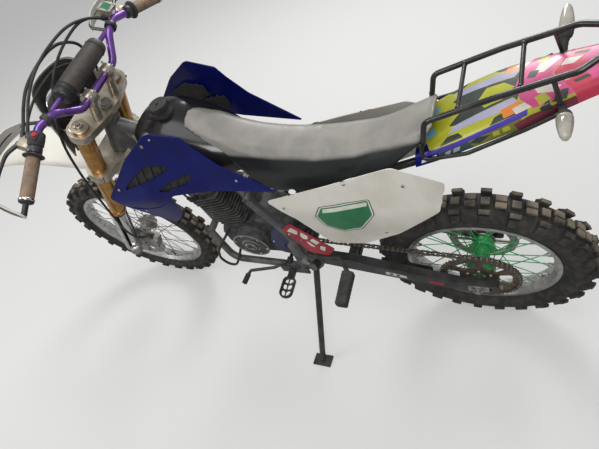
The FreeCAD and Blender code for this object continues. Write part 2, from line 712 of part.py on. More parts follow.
def rear_caliper():
    z = axle_height["rear"]
    body = side_plate([(40, z + 70, 8), (100, z + 34, 8), (128, z + 78, 8), (66, z + 116, 8)], -87, -50)
    slot = Part.makeCylinder(115, 14, V(0, -73, z), V(0, 1, 0))
    bracket = side_plate([(-20, z - 22, 10), (30, z - 22, 10), (80, z + 44, 5), (60, z + 76, 5), (-20, z + 22, 10)],
                         -87, -80)
    hole = Part.makeCylinder(axle_r + 0.1, 20, V(0, -90, z), V(0, 1, 0))
    return fuse([body.cut(slot), bracket]).cut(hole)


def chain_guide():
    """A block round the lower run, hung under the left arm."""
    outline = [(150, 350, 6), (235, 368, 6), (215, 214, 12), (150, 222, 12)]
    plates = [side_plate(outline, chain_line - 16, chain_line - 13), side_plate(outline, arm_inside - 3.6, arm_inside)]
    sole = block(165, 215, chain_line - 16, arm_inside, 214, 224)
    return fuse(plates + [sole])


def side_stand():
    """The stand: boss, leg and a foot that lies flat on the ground."""
    x, y, z = stand_pivot
    foot_x, foot_y = stand_foot
    foot_z = tan(radians(lean)) * foot_y
    start, end = V(x, y, z), V(foot_x, foot_y, foot_z + 8)
    axis = stand_axis()
    boss = Part.makeCylinder(17, 18, start - axis * 9, axis)
    leg = Part.makeCylinder(stand_r, (end - start).Length, start, end - start)
    pad = Part.makeBox(70, 46, 7, V(-35, -23, 0))
    pad.rotate(V(0, 0, 0), V(1, 0, 0), lean)
    pad.translate(V(foot_x, foot_y, foot_z))
    whole = fuse([boss, leg, pad])
    floor = Part.makeBox(200, 200, 60, V(-100, -100, -60))
    floor.rotate(V(0, 0, 0), V(1, 0, 0), lean)
    floor.translate(V(foot_x, foot_y, foot_z))
    hole = Part.makeCylinder(7.0, 40, start - axis * 20, axis)
    return whole.cut(floor).cut(hole)


def stand_axis():
    foot_x, foot_y = stand_foot
    leg = V(foot_x, foot_y, tan(radians(lean)) * foot_y) - V(*stand_pivot)
    return leg.cross(V(*stand_fold)).normalize()


def stand_bracket():
    """The lug on the pivot plate that carries the stand's bolt."""
    axis = stand_axis()
    start = V(*stand_pivot)
    pin = Part.makeCylinder(6.95, 44, start - axis * 26, axis)
    head = Part.makeCylinder(13, 6, start + axis * 12.3, axis)
    base = Part.makeCylinder(16, 14, start - axis * 26.3, axis)
    return fuse([pin, head, base])


def breather_hose():
    return tube([(872, 54, 520, 0), (878, 94, 516, 28), (905, 119, 488, 30), (940, 123, 440, 60),
                 (960, 124, 388, 45), (950, 124, 345, 28), (915, 124, 330, 24), (886, 112, 372, 24),
                 (884, 54, 396, 0)], 5.0)


# The front end is drawn on the fork: x ahead of its tubes, y left, z up along them from the axle.
def on_fork(shape):
    shape.rotate(V(0, 0, 0), V(0, 1, 0), -rake)
    shape.translate(axle_place["front"])
    return shape


bar_x, bar_z = -32.0, top_clamp_at + 99.0
bar_bend = (2.0, 156.0, bar_z + 41.0)
grip_root = (15.0, 210.0, bar_z + 40.5)
grip_end = (-38.0, 393.0, bar_z)
cross_at = (10.0, bar_z + 41.0)
cross_r = 7.0
pad_r = 30.0


def clamp(z0, z1, bore):
    """A triple clamp with its two fork bores."""
    outline = [(V(34, -140, z0), 32), (V(34, 140, z0), 32), (V(-34, 140, z0), 32), (V(-56, 30, z0), 20),
               (V(-56, -30, z0), 20), (V(-34, -140, z0), 32)]
    body = Part.Face(rounded(outline)).extrude(V(0, 0, z1 - z0))
    for side in (-1, 1):
        body = body.cut(Part.makeCylinder(fork_outer_r + 0.1, 60, V(0, side * fork_half, z0 - 5)))
    if bore:
        body = body.cut(Part.makeCylinder(bore, 60, V(-fork_offset, 0, z0 - 5)))
    return body


def triple_clamp_top():
    z0 = top_clamp_at - top_clamp_high / 2
    z1 = top_clamp_at + top_clamp_high / 2
    body = clamp(z0, z1, stem_r + 0.1)
    posts = [Part.makeCylinder(15, bar_z - z1, V(bar_x, side * 51, z1)) for side in (-1, 1)]
    caps = [Part.makeCylinder(21, 30, V(bar_x, side * 51 - 15, bar_z), V(0, 1, 0)) for side in (-1, 1)]
    bar_way = Part.makeCylinder(bar_r + 0.1, 160, V(bar_x, -80, bar_z), V(0, 1, 0))
    return on_fork(fuse([body] + posts + caps).cut(bar_way))


def triple_clamp_bottom():
    z0 = lower_clamp_at - lower_clamp_high / 2
    z1 = lower_clamp_at + lower_clamp_high / 2
    stem = Part.makeCylinder(stem_r, top_clamp_at + 22 - z0, V(-fork_offset, 0, z0))
    return on_fork(fuse([clamp(z0, z1, 0), stem]))


def fork_outer_tubes():
    legs = [Part.makeCylinder(fork_outer_r, top_clamp_at + fork_cap - fork_outer_low,
                              V(0, side * fork_half, fork_outer_low)) for side in (-1, 1)]
    return on_fork(Part.makeCompound(legs))


def fork_inner_tubes():
    legs = [Part.makeCylinder(fork_inner_r, fork_outer_low - 0.3 - 62, V(0, side * fork_half, 62)) for side in (-1, 1)]
    return on_fork(Part.makeCompound(legs))


def fork_lugs():
    """The fork's feet with the axle clamps and the caliper lugs on the left one."""
    feet = []
    for side in (-1, 1):
        foot = Part.makeCylinder(26, 86, V(0, side * fork_half, -24))
        well = Part.makeCylinder(fork_inner_r + 0.1, 10, V(0, side * fork_half, 62 - 0.3))
        bore = Part.makeCylinder(axle_r + 0.1, 80, V(0, side * fork_half - 40, 0), V(0, 1, 0))
        if side == 1:
            foot = fuse([foot, block(-70, -10, 92, 104, 20, 50)])
        feet.append(foot.cut(bore).cut(well))
    return on_fork(Part.makeCompound(feet))


def fork_guards():
    """Half-round guards in front of the inner tubes."""
    guards = []
    for side in (-1, 1):
        outer = Part.makeCylinder(36, 270, V(0, side * fork_half, 74))
        inner = Part.makeCylinder(32, 270, V(0, side * fork_half, 74))
        back = block(-60, -4, side * fork_half - 60, side * fork_half + 60, 60, 360)
        shell = outer.cut(inner).cut(back)
        band = Part.makeCylinder(33, 12, V(0, side * fork_half, 62 - 12)).cut(
            Part.makeCylinder(26.3, 12, V(0, side * fork_half, 62 - 12)))
        ramp = Part.makeCylinder(36, 24, V(0, side * fork_half, 50)).cut(
            Part.makeCylinder(32, 24, V(0, side * fork_half, 50))).cut(back)
        guards.append(fuse([shell, ramp, band]))
    return on_fork(Part.makeCompound(guards))


def front_axle():
    bar = Part.makeCylinder(axle_r, 264, V(0, -132, 0), V(0, 1, 0))
    head = Part.makeCylinder(15, 6, V(0, -138, 0), V(0, 1, 0))
    return on_fork(fuse([bar, head]).cut(Part.makeCylinder(6.0, 280, V(0, -140, 0), V(0, 1, 0))))


def handlebar():
    """The bar with its cross tube."""
    half = [(bar_x, 92, bar_z, 40), bar_bend + (60,), grip_root + (40,)]
    right = [(x, -y, z, r) for x, y, z, r in half]
    ends = [grip_end + (0,)]
    run = [(grip_end[0], -grip_end[1], grip_end[2], 0)] + right[::-1] + half + ends
    x, z = cross_at
    cross = rod((x, -152, z), (x, 152, z), cross_r)
    return on_fork(fuse([tube(run, bar_r), cross]))


def bar_pad():
    x, z = cross_at
    pad = Part.makeCylinder(pad_r, 216, V(x, -108, z), V(0, 1, 0))
    return on_fork(pad.cut(Part.makeCylinder(cross_r + seat_gap, 216, V(x, -108, z), V(0, 1, 0))))


def grips():
    sides = []
    root, end = V(*grip_root), V(*grip_end)
    along = (end - root).normalize()
    start = end - along * grip_long
    body = Part.makeCylinder(grip_r, grip_long, start, along)
    flange = Part.makeCylinder(grip_r + 9, 4, start, along)
    cap = Part.makeCylinder(grip_r + 2, 5, end, along)
    sleeve = fuse([body, flange, cap]).cut(Part.makeCylinder(bar_r + 0.2, grip_long, start, along))
    return on_fork(Part.makeCompound(both(sleeve)))


def levers():
    """Lever perches with their levers: clutch on the left, brake with its reservoir on the right."""
    root, end = V(*grip_root), V(*grip_end)
    along = (end - root).normalize()
    place = end - along * (grip_long + 22)
    ring = Part.makeCylinder(17, 16, place, along).cut(Part.makeCylinder(bar_r + 0.2, 16, place, along))
    x, y, z = place
    perch = block(x + 13, x + 46, y - 12, y + 14, z - 9, z + 7)
    blade = tube([(x + 38, y, z, 0), (x + 56, y + 45, z - 6, 40), (x + 40, y + 132, z - 30, 0)], 5.5)
    left = fuse([ring, perch, blade])
    cup = Part.makeCylinder(20, 30, V(x + 38, -y + 34, z + 8))
    base = block(x + 20, x + 56, -y, -y + 52, z - 8, z + 10)
    right = fuse([mirror(left), base, cup])
    return on_fork(Part.makeCompound([left, right]))


def hand_guards():
    """Guards before the grips, held at the bar's ends and by clamps on the bar."""
    line = [(86, 190), (106, 236), (106, 330), (66, 408), (-62, 436)]
    low = bar_z - 22
    strip = [V(x, y, low) for x, y in line] + [V(x - 3.5, y - 3.5, low) for x, y in reversed(line)]
    wall = Part.Face(Part.makePolygon(strip + strip[:1])).extrude(V(0, 0, 42))
    root, end = V(*grip_root), V(*grip_end)
    along = (end - root).normalize()
    stay = rod(tuple(end + along * 5.3), tuple(end + along * 40), 6.0)
    bend = V(*bar_bend)
    inner = (root - bend).normalize()
    ring = Part.makeCylinder(17, 13, bend + inner * 20, inner)
    arm = rod((12, 178, bar_z + 27), (84, 190, bar_z - 5), 6.0)
    bore = Part.makeCylinder(bar_r + 0.2, 60, bend, inner)
    return on_fork(Part.makeCompound(both(fuse([wall, stay, ring, arm]).cut(bore))))


def front_fender():
    """The long front fender with the studs that bolt it under the lower clamp."""
    studs = [rod(tuple(fork_point(lower_clamp_at, side * 26, ahead)), tuple(fork_point(540, side * 26, ahead)), 7.0)
             for side in (-1, 1) for ahead in (-20, 12)]
    return fuse([arch(nose_rows, 4.0)] + [stud.cut(arch(nose_rows, 80)) for stud in studs])


lamp_r = 64.0
lamp_back = (wheelbase - 274.0, 0.0, axle_height["front"] + 733.0)
lamp_way = (1.0, 0.0, 0.25)


def headlamp_mask():
    """The front mask round the headlamp."""
    low = [(-290, 128), (-208, 78), (-196, 0), (-208, -78), (-290, -128)]
    high = [(-352, 128), (-272, 84), (-256, 0), (-272, -84), (-352, -128)]
    wires = []
    for up, line in ((634, low), (875, high)):
        outer = [V(wheelbase + x, y, axle_height["front"] + up) for x, y in line]
        inner = [V(wheelbase + x - 4, y * 0.97, axle_height["front"] + up) for x, y in reversed(line)]
        wires.append(Part.makePolygon(outer + inner + outer[:1]))
    shell = Part.makeLoft(wires, True, True)
    return shell.cut(Part.makeCylinder(lamp_r + seat_gap, 140, V(*lamp_back), V(*lamp_way)))


def headlamp():
    """The lamp on its cross plate, which clips to both fork tubes."""
    lamp = Part.makeCylinder(lamp_r, 58, V(*lamp_back), V(*lamp_way))
    plate = block(28, 32, -118, 118, 752, 792)
    clips = [block(6, 30, side * fork_half - 14, side * fork_half + 14, 758, 786) for side in (-1, 1)]
    arms = [block(30, 110, side * 34 - 5, side * 34 + 5, 756, 780) for side in (-1, 1)]
    return fuse([lamp, on_fork(fuse([plate] + clips + arms))])


def front_caliper():
    body = block(-104, -44, 44, 84, 24, 96)
    slot = Part.makeCylinder(125, 14, V(0, 53, 0), V(0, 1, 0))
    lug = block(-66, -52, 80, 91.7, 30, 46)
    return on_fork(fuse([body.cut(slot), lug]))


def brake_hose():
    """The brake hose down the left leg, and the two cables that loop ahead of the bar."""
    hose = tube([(40, -212, 976, 0), (70, -150, 1010, 45), (74, -40, 1030, 60), (60, 90, 960, 60),
                 (48, 148, 820, 90), (20, 150, 560, 120), (-24, 150, 300, 120), (-60, 124, 200, 60),
                 (-78, 84, 150, 30), (-78, 72, 96.2, 0)], 4.0)
    clutch = tube([(40, 248, 975, 0), (62, 185, 990, 40), (110, 120, 1010, 40), (125, 0, 1035, 80),
                   (100, -90, 1000, 40), (60, -120, 930, 40), (30, -80, 792.2, 0)], 4.5)
    cross = tube([(24, 248, 976, 0), (56, 160, 1035, 40), (96, 0, 1078, 90), (62, -110, 1058, 45),
                  (28, -207.8, 976, 0)], 4.0)
    return on_fork(Part.makeCompound([hose, clutch, cross]))


def group(*solids):
    """Pieces of one node that don't touch."""
    return Part.makeCompound(list(solids))


shapes = {
    "rear_tyre": at_axle(tyres["rear"], "rear"),
    "rear_rim": at_axle(rim(wheels["rear"]), "rear"),
    "rear_hub": at_axle(hub(30.0, chain_line - sprocket_thick / 2, -64.0), "rear"),
    "rear_spokes": at_axle(spokes(wheels["rear"], 30.0), "rear"),
    "rear_sprocket": at_axle(rear_sprocket(), "rear"),
    "rear_disc": at_axle(disc(110, 84, -68, 4, 36, 6), "rear"),
    "front_tyre": at_axle(tyres["front"], "front"),
    "front_rim": at_axle(rim(wheels["front"]), "front"),
    "front_hub": at_axle(hub(26.0, 58.0, -52.0), "front"),
    "front_spokes": at_axle(spokes(wheels["front"], 26.0), "front"),
    "front_disc": at_axle(disc(120, 92, 58, 4, 34, 6), "front"),
    "frame_main": frame(),
    "subframe": subframe(),
    "swingarm": swingarm(),
    "spindles": group(rear_axle(), pivot_bolt()),
    "chain": chain(),
    "chain_guide": chain_guide(),
    "shock_absorber": shock(),
    "engine_case": engine_case(),
    "engine_cylinder": engine_cylinder(),
    "engine_head": engine_head(),
    "sprocket_cover": sprocket_cover(),
    "intake": group(carburettor(), airbox()),
    "exhaust_header": exhaust_header(),
    "muffler": muffler(),
    "breather_hose": breather_hose(),
    "fuel_tank": fuel_tank(),
    "fuel_cap": fuel_cap(),
    "seat": seat(),
    "shrouds": group(*both(shroud())),
    "side_panels": group(*both(side_panel())),
    "frame_guards": group(*both(frame_guard())),
    "tail_fender": tail_fender(),
    "rack": rack(),
    "tail_light": tail_light(),
    "turn_signals": turn_signals(),
    "plate_bracket": plate_bracket(),
    "footpegs": group(*both(footpeg())),
    "passenger_pegs": group(*both(passenger_peg())),
    "foot_levers": group(shift_lever(), brake_pedal()),
    "kick_starter": kick_starter(),
    "rear_caliper": rear_caliper(),
    "side_stand": side_stand(),
    "triple_clamp_top": triple_clamp_top(),
    "triple_clamp_bottom": triple_clamp_bottom(),
    "fork_outer_tubes": fork_outer_tubes(),
    "fork_inner_tubes": fork_inner_tubes(),
    "fork_lugs": fork_lugs(),
    "fork_guards": fork_guards(),
    "front_axle": front_axle(),
    "front_caliper": front_caliper(),
    "front_fender": front_fender(),
    "handlebar": handlebar(),
    "bar_pad": bar_pad(),
    "grips": grips(),
    "levers": levers(),
    "hand_guards": hand_guards(),
    "headlamp_mask": headlamp_mask(),
    "headlamp": headlamp(),
    "brake_hose": brake_hose(),
}


# Each piece in this table is coped round the one that carries it: welds, slip joints and seats.
coped = [("subframe", "frame_main"), ("seat", "fuel_tank"), ("seat", "subframe"), ("intake", "engine_head"),
         ("intake", "engine_cylinder"), ("exhaust_header", "engine_head"), ("exhaust_header", "muffler"),
         ("muffler", "subframe"), ("side_panels", "muffler"), ("fuel_cap", "fuel_tank"), ("rack", "tail_fender"),
         ("turn_signals", "tail_fender"), ("plate_bracket", "tail_fender"), ("footpegs", "frame_main"),
         ("frame_guards", "frame_main"), ("frame_guards", "subframe"), ("tail_fender", "seat"),
         ("breather_hose", "engine_case"), ("shrouds", "fuel_tank"), ("side_panels", "subframe"),
         ("subframe", "tail_fender"), ("intake", "subframe"), ("headlamp", "fork_outer_tubes"),
         ("headlamp_mask", "headlamp"), ("front_fender", "triple_clamp_bottom"), ("levers", "handlebar"),
         ("brake_hose", "levers"), ("brake_hose", "front_caliper"), ("brake_hose", "headlamp")]
for piece, carrier in coped:
    shapes[piece] = shapes[piece].cut(shapes[carrier])


def settle(nodes):
    """Lean the bike to its left and put its box's bottom centre at the origin."""
    box = FreeCAD.BoundBox()
    for shape in nodes.values():
        shape.rotate(V(0, 0, 0), V(1, 0, 0), -lean)
        box.add(shape.optimalBoundingBox(False, False))
    shift = V(-box.Center.x, -box.Center.y, -box.ZMin)
    for shape in nodes.values():
        shape.translate(shift)
    return box, shift


box, shift = settle(shapes)
os.makedirs("parts", exist_ok=True)
for name, shape in shapes.items():
    shape.exportStep("parts/" + name + ".step")
    print(name, len(shape.Solids), shape.isValid(), round(shape.Volume / 1000, 1), "cm3")
print("size", round(box.XLength, 1), round(box.YLength, 1), round(box.ZLength, 1), "shift", shift)
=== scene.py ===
import bpy
import bmesh
import json
import math
from math import cos, pi, radians, sin
from mathutils import Matrix, Vector
from mathutils.geometry import delaunay_2d_cdt


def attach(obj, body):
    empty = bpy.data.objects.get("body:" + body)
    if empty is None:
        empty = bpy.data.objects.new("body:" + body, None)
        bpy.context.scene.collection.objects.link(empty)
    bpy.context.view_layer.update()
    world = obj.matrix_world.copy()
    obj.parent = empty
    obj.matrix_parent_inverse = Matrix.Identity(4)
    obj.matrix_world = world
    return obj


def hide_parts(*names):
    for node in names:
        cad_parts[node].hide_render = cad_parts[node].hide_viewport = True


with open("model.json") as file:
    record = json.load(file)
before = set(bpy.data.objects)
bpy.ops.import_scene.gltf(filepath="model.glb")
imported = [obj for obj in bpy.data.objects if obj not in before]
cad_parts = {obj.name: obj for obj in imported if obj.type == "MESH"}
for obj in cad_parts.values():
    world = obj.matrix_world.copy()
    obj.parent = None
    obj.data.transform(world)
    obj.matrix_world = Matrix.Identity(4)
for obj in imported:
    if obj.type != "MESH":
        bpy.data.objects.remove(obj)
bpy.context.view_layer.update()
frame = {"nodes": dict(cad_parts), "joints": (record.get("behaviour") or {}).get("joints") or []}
nodes = frame["nodes"]
joints = {joint["name"]: joint for joint in frame["joints"]}
scene = bpy.context.scene
print("frame loaded:", len(nodes), "nodes")

# The bike's own upright space, in millimetres: x forward of the rear axle, y left, z up.
# The wheels' axes say how far it leans, so a piece drawn upright lands where the CAD has it.
sideways = Vector(joints["rear_wheel_spin"]["axis"])
upwards = Vector((1, 0, 0)).cross(sideways)
rearAxle = Vector(joints["rear_wheel_spin"]["pos_m"])
frontAxle = Vector(joints["front_wheel_spin"]["pos_m"])
steerAxis = Vector(joints["steering"]["axis"])
bikeOrigin = rearAxle - upwards * (rearAxle.z / upwards.z)
bikeSpace = Matrix((
    (1, sideways.x, upwards.x, bikeOrigin.x),
    (0, sideways.y, upwards.y, bikeOrigin.y),
    (0, sideways.z, upwards.z, bikeOrigin.z),
    (0, 0, 0, 1))) @ Matrix.Scale(0.001, 4)
rakeAngle = math.acos(steerAxis.dot(upwards))
axleSpace = {
    "rear": Matrix.Translation(bikeSpace.inverted() @ rearAxle),
    "front": Matrix.Translation(bikeSpace.inverted() @ frontAxle)}
axleSpace = {end: bikeSpace @ place for end, place in axleSpace.items()}
forkSpace = axleSpace["front"] @ Matrix.Rotation(-rakeAngle, 4, "Y")    # x ahead of the tubes, z up them


# Camera: solved from the photograph with the wheelbase, in the upright frame of the floor.
camera = {
    "x": -115.9, "y": 1114.0, "z": 1650.6,     # mm from the rear wheel's foot
    "heading": -54.41, "tilt": -43.20, "roll": -22.35, "focal": 474.85, "frameWidth": 599}


def makeCamera():
    data = bpy.data.cameras.new("photoCamera")
    item = bpy.data.objects.new("photoCamera", data)
    scene.collection.objects.link(item)
    heading, tilt, roll = (radians(camera[k]) for k in ("heading", "tilt", "roll"))
    ahead = Vector((cos(tilt) * cos(heading), cos(tilt) * sin(heading), sin(tilt)))
    right = ahead.cross(Vector((0, 0, 1))).normalized()
    top = right.cross(ahead)
    turnedRight = right * cos(roll) + top * sin(roll)
    turnedTop = top * cos(roll) - right * sin(roll)
    place = Vector((camera["x"], camera["y"], camera["z"])) * 0.001 + Vector((bikeOrigin.x, bikeOrigin.y, 0))
    item.matrix_world = Matrix((
        (turnedRight.x, turnedTop.x, -ahead.x, place.x),
        (turnedRight.y, turnedTop.y, -ahead.y, place.y),
        (turnedRight.z, turnedTop.z, -ahead.z, place.z),
        (0, 0, 0, 1)))
    data.sensor_width = 36
    data.lens = data.sensor_width * camera["focal"] / camera["frameWidth"]
    data.clip_end = 60
    scene.camera = item


makeCamera()


# Floor, backdrop and lamps.
studio = {
    "floorColor": (0.34, 0.335, 0.325), "floorSize": 44.0, "floorGlow": 0.30, "worldStrength": 0.42, "worldSeen": 0.72,
    "lamps": (    # x, y, z in metres, watts, size
        (-1.8, 2.6, 3.4, 80, 1.6), (2.8, 1.6, 3.0, 60, 1.6), (0.2, -3.4, 3.2, 120, 1.8), (0.0, 0.4, 4.6, 55, 2.6))}


def addNode(tree, kind, values=None, **settings):
    # a node whose inputs take a plain value or another node's output
    node = tree.nodes.new(kind)
    for name, value in settings.items():
        setattr(node, name, value)
    for socket, value in (values or {}).items():
        if isinstance(value, bpy.types.NodeSocket):
            tree.links.new(value, node.inputs[socket])
        else:
            node.inputs[socket].default_value = value
    return node


def seenOnly(tree, socket, hidden, seen):
    # one strength for light that the pieces get, another for what the camera sees
    path = addNode(tree, "ShaderNodeLightPath")
    share = addNode(tree, "ShaderNodeMapRange",
            {"Value": path.outputs["Is Camera Ray"], "To Min": hidden, "To Max": seen})
    tree.links.new(share.outputs["Result"], socket)


def makeStudio():
    mesh = bpy.data.meshes.new("floor")
    half = studio["floorSize"] / 2
    mesh.from_pydata([(-half, -half, 0), (half, -half, 0), (half, half, 0), (-half, half, 0)], [], [(0, 1, 2, 3)])
    floor = bpy.data.objects.new("floor", mesh)
    scene.collection.objects.link(floor)
    material = bpy.data.materials.new("floorPaint")
    material.use_nodes = True
    shader = material.node_tree.nodes["Principled BSDF"]
    shader.inputs["Base Color"].default_value = (*studio["floorColor"], 1)
    shader.inputs["Roughness"].default_value = 0.85
    shader.inputs["Emission Color"].default_value = (1, 1, 1, 1)
    seenOnly(material.node_tree, shader.inputs["Emission Strength"], 0.0, studio["floorGlow"])
    mesh.materials.append(material)
    world = bpy.data.worlds.new("studioWorld")
    world.use_nodes = True
    world.node_tree.nodes["Background"].inputs["Color"].default_value = (0.86, 0.88, 0.90, 1)
    seenOnly(world.node_tree, world.node_tree.nodes["Background"].inputs["Strength"], studio["worldStrength"],
             studio["worldSeen"])
    scene.world = world
    for i, (x, y, z, watts, size) in enumerate(studio["lamps"]):
        data = bpy.data.lights.new("softLamp%d" % i, "AREA")
        data.energy, data.size = watts, size
        lamp = bpy.data.objects.new("softLamp%d" % i, data)
        lamp.location = (x, y, z)
        lamp.rotation_euler = (Vector((0, 0, 0.5)) - lamp.location).to_track_quat("-Z", "Y").to_euler()
        scene.collection.objects.link(lamp)
    scene.view_settings.view_transform = "Standard"


makeStudio()
print("camera and studio made")


# Finishes: base colour, second colour mixed in by noise, the noise's grain, roughness, fine bump, and where they
# differ from 0, 0 and 0.5, metal, coat and gloss.
finishes = {
    "rimAlloy": ((0.62, 0.62, 0.61), (0.42, 0.41, 0.4), 35, 0.32, 0.05, 1),
    "greenPaint": ((0.03, 0.36, 0.1), (0.02, 0.24, 0.07), 40, 0.3, 0.04, 0, 0.4),
    "bareSteel": ((0.45, 0.44, 0.42), (0.28, 0.26, 0.23), 50, 0.38, 0.06, 1),
    "darkSteel": ((0.17, 0.14, 0.11), (0.09, 0.07, 0.05), 60, 0.55, 0.2, 0.8),
    "framePaint": ((0.055, 0.055, 0.057), (0.12, 0.115, 0.105), 18, 0.42, 0.08),
    "blackMetal": ((0.016, 0.016, 0.017), (0.04, 0.038, 0.035), 22, 0.38, 0.06),
    "castBlack": ((0.024, 0.025, 0.028), (0.07, 0.066, 0.06), 45, 0.55, 0.35),
    "castAlloy": ((0.4, 0.39, 0.37), (0.22, 0.21, 0.19), 45, 0.5, 0.3, 0.9),
    "headPaint": ((0.035, 0.035, 0.036), (0.09, 0.085, 0.075), 45, 0.5, 0.3),
    "goldAnodise": ((0.5, 0.26, 0.075), (0.36, 0.18, 0.05), 30, 0.26, 0.02, 0.9),
    "champagneAnodise": ((0.52, 0.47, 0.38), (0.36, 0.31, 0.24), 40, 0.33, 0.06, 0.85),
    "chromeTube": ((0.7, 0.7, 0.71), (0.55, 0.55, 0.56), 20, 0.12, 0.0, 1),
    "purpleAnodise": ((0.24, 0.12, 0.42), (0.18, 0.09, 0.34), 25, 0.24, 0.02, 0.85),
    "bluePlastic": ((0.002, 0.006, 0.105), (0.0015, 0.004, 0.07), 9, 0.3, 0.015, 0, 0, 0.16),
    "whitePlastic": ((0.6, 0.58, 0.52), (0.48, 0.45, 0.39), 7, 0.42, 0.03),
    "redPlastic": ((0.36, 0.022, 0.035), (0.26, 0.015, 0.025), 12, 0.4, 0.03, 0, 0, 0.35),
    "tankBlack": ((0.008, 0.008, 0.009), (0.016, 0.015, 0.014), 14, 0.2, 0.01, 0, 0.15, 0.4),
    "blackGloss": ((0.01, 0.01, 0.011), (0.03, 0.028, 0.026), 22, 0.26, 0.03),
    "blackRubber": ((0.018, 0.018, 0.018), (0.035, 0.033, 0.03), 70, 0.7, 0.2),
    "brownRubber": ((0.25, 0.17, 0.11), (0.17, 0.115, 0.075), 50, 0.58, 0.15),
    "coverBlue": ((0.012, 0.018, 0.075), (0.03, 0.034, 0.06), 45, 0.42, 0.2),
    "redLens": ((0.45, 0.01, 0.012), (0.35, 0.008, 0.01), 30, 0.12, 0.0, 0, 0.8),
    "clearLens": ((0.34, 0.32, 0.27), (0.22, 0.2, 0.17), 30, 0.08, 0.0, 0, 0.6),
    "lampGlass": ((0.7, 0.72, 0.74), (0.6, 0.62, 0.64), 12, 0.08, 0.0, 0, 0.9),
    "muffledSteel": ((0.5, 0.49, 0.47), (0.3, 0.27, 0.23), 12, 0.3, 0.04, 1),
    "chainSteel": ((0.1, 0.075, 0.055), (0.2, 0.17, 0.14), 120, 0.5, 0.15, 0.85),
    "darkPrint": ((0.02, 0.03, 0.02), (0.03, 0.04, 0.03), 30, 0.4, 0.0),
    "palePrint": ((0.62, 0.64, 0.56), (0.5, 0.52, 0.45), 20, 0.4, 0.0),
    "greenPrint": ((0.015, 0.16, 0.06), (0.01, 0.12, 0.045), 16, 0.38, 0.0),
    "yellowPrint": ((0.36, 0.36, 0.025), (0.28, 0.28, 0.02), 14, 0.36, 0.0),
    "lilacPrint": ((0.34, 0.33, 0.44), (0.27, 0.26, 0.36), 14, 0.36, 0.0),
    "violetPrint": ((0.06, 0.035, 0.3), (0.04, 0.03, 0.22), 14, 0.36, 0.0),
    "pinkPrint": ((0.52, 0.06, 0.2), (0.42, 0.04, 0.14), 14, 0.36, 0.0),
    "rosePrint": ((0.46, 0.03, 0.07), (0.34, 0.02, 0.05), 14, 0.36, 0.0),
    "olivePrint": ((0.15, 0.15, 0.02), (0.11, 0.11, 0.015), 14, 0.36, 0.0),
    "tealPrint": ((0.02, 0.05, 0.055), (0.03, 0.06, 0.06), 14, 0.36, 0.0),
    "skyPrint": ((0.16, 0.4, 0.55), (0.12, 0.32, 0.46), 14, 0.36, 0.0),
    "orangePrint": ((0.62, 0.2, 0.03), (0.52, 0.15, 0.02), 14, 0.36, 0.0),
    "maroonPrint": ((0.14, 0.02, 0.035), (0.1, 0.015, 0.025), 14, 0.36, 0.0),
    # dark matte finish; in the muffler's outlet it is painted shade
    "darkLiner": ((0.022, 0.022, 0.024), (0.04, 0.038, 0.036), 30, 0.7, 0.1),
    "springPaint": ((0.5, 0.5, 0.5), (0.35, 0.34, 0.33), 25, 0.4, 0.05, 0.5),
}
materials = {}


def mixColors(tree, factor, first, second):
    first, second = ((*value, 1) if isinstance(value, tuple) else value for value in (first, second))
    return addNode(tree, "ShaderNodeMix", {0: factor, 6: first, 7: second}, data_type="RGBA").outputs[2]


def noiseField(tree, coords, scale, low, high, detail=4):
    noise = addNode(tree, "ShaderNodeTexNoise", {"Vector": coords, "Scale": scale, "Detail": detail})
    ramp = addNode(tree, "ShaderNodeMapRange", {"Value": noise.outputs["Fac"], "From Min": low, "From Max": high})
    return ramp.outputs["Result"]


def makeFinish(name, color, second, grain, rough, bump, metal=0.0, coat=0.0, gloss=0.5):
    material = bpy.data.materials.new(name)
    material.use_nodes = True
    tree = material.node_tree
    shader = tree.nodes["Principled BSDF"]
    coords = addNode(tree, "ShaderNodeTexCoord").outputs["Object"]
    patches = noiseField(tree, coords, grain, 0.42, 0.66)
    tree.links.new(mixColors(tree, patches, color, second), shader.inputs["Base Color"])
    for label, value in (("Metallic", metal), ("Coat Weight", coat), ("Specular IOR Level", gloss)):
        shader.inputs[label].default_value = value
    spread = addNode(tree, "ShaderNodeMapRange", {"Value": noiseField(tree, coords, grain * 0.4, 0.3, 0.7),
            "To Min": rough * 0.85, "To Max": min(rough * 1.3, 1)})
    tree.links.new(spread.outputs["Result"], shader.inputs["Roughness"])
    if bump:
        height = addNode(tree, "ShaderNodeBump", {"Height": noiseField(tree, coords, grain * 12, 0.2, 0.8),
                "Strength": bump, "Distance": 0.0006})
        tree.links.new(height.outputs["Normal"], shader.inputs["Normal"])
    return material


def overlaid(tree, amount, color):
    # lays a colour over the finish's own, as far as the amount goes
    base = tree.nodes["Principled BSDF"].inputs["Base Color"]
    tree.links.new(mixColors(tree, amount, base.links[0].from_socket, color), base)


def bandedFinish(name, base, attribute, start, end, color, ease="LINEAR"):
    # a second colour from where the attribute passes start to where it passes end
    material = makeFinish(name, *base)
    tree = material.node_tree
    band = addNode(tree, "ShaderNodeAttribute", attribute_name=attribute)
    share = addNode(tree, "ShaderNodeMapRange", {"Value": band.outputs["Fac"], "From Min": start, "From Max": end},
            interpolation_type=ease)
    overlaid(tree, share.outputs["Result"], color)
    return material


for finishName, values in finishes.items():
    materials[finishName] = makeFinish(finishName, *values)
print("finishes made:", len(materials))


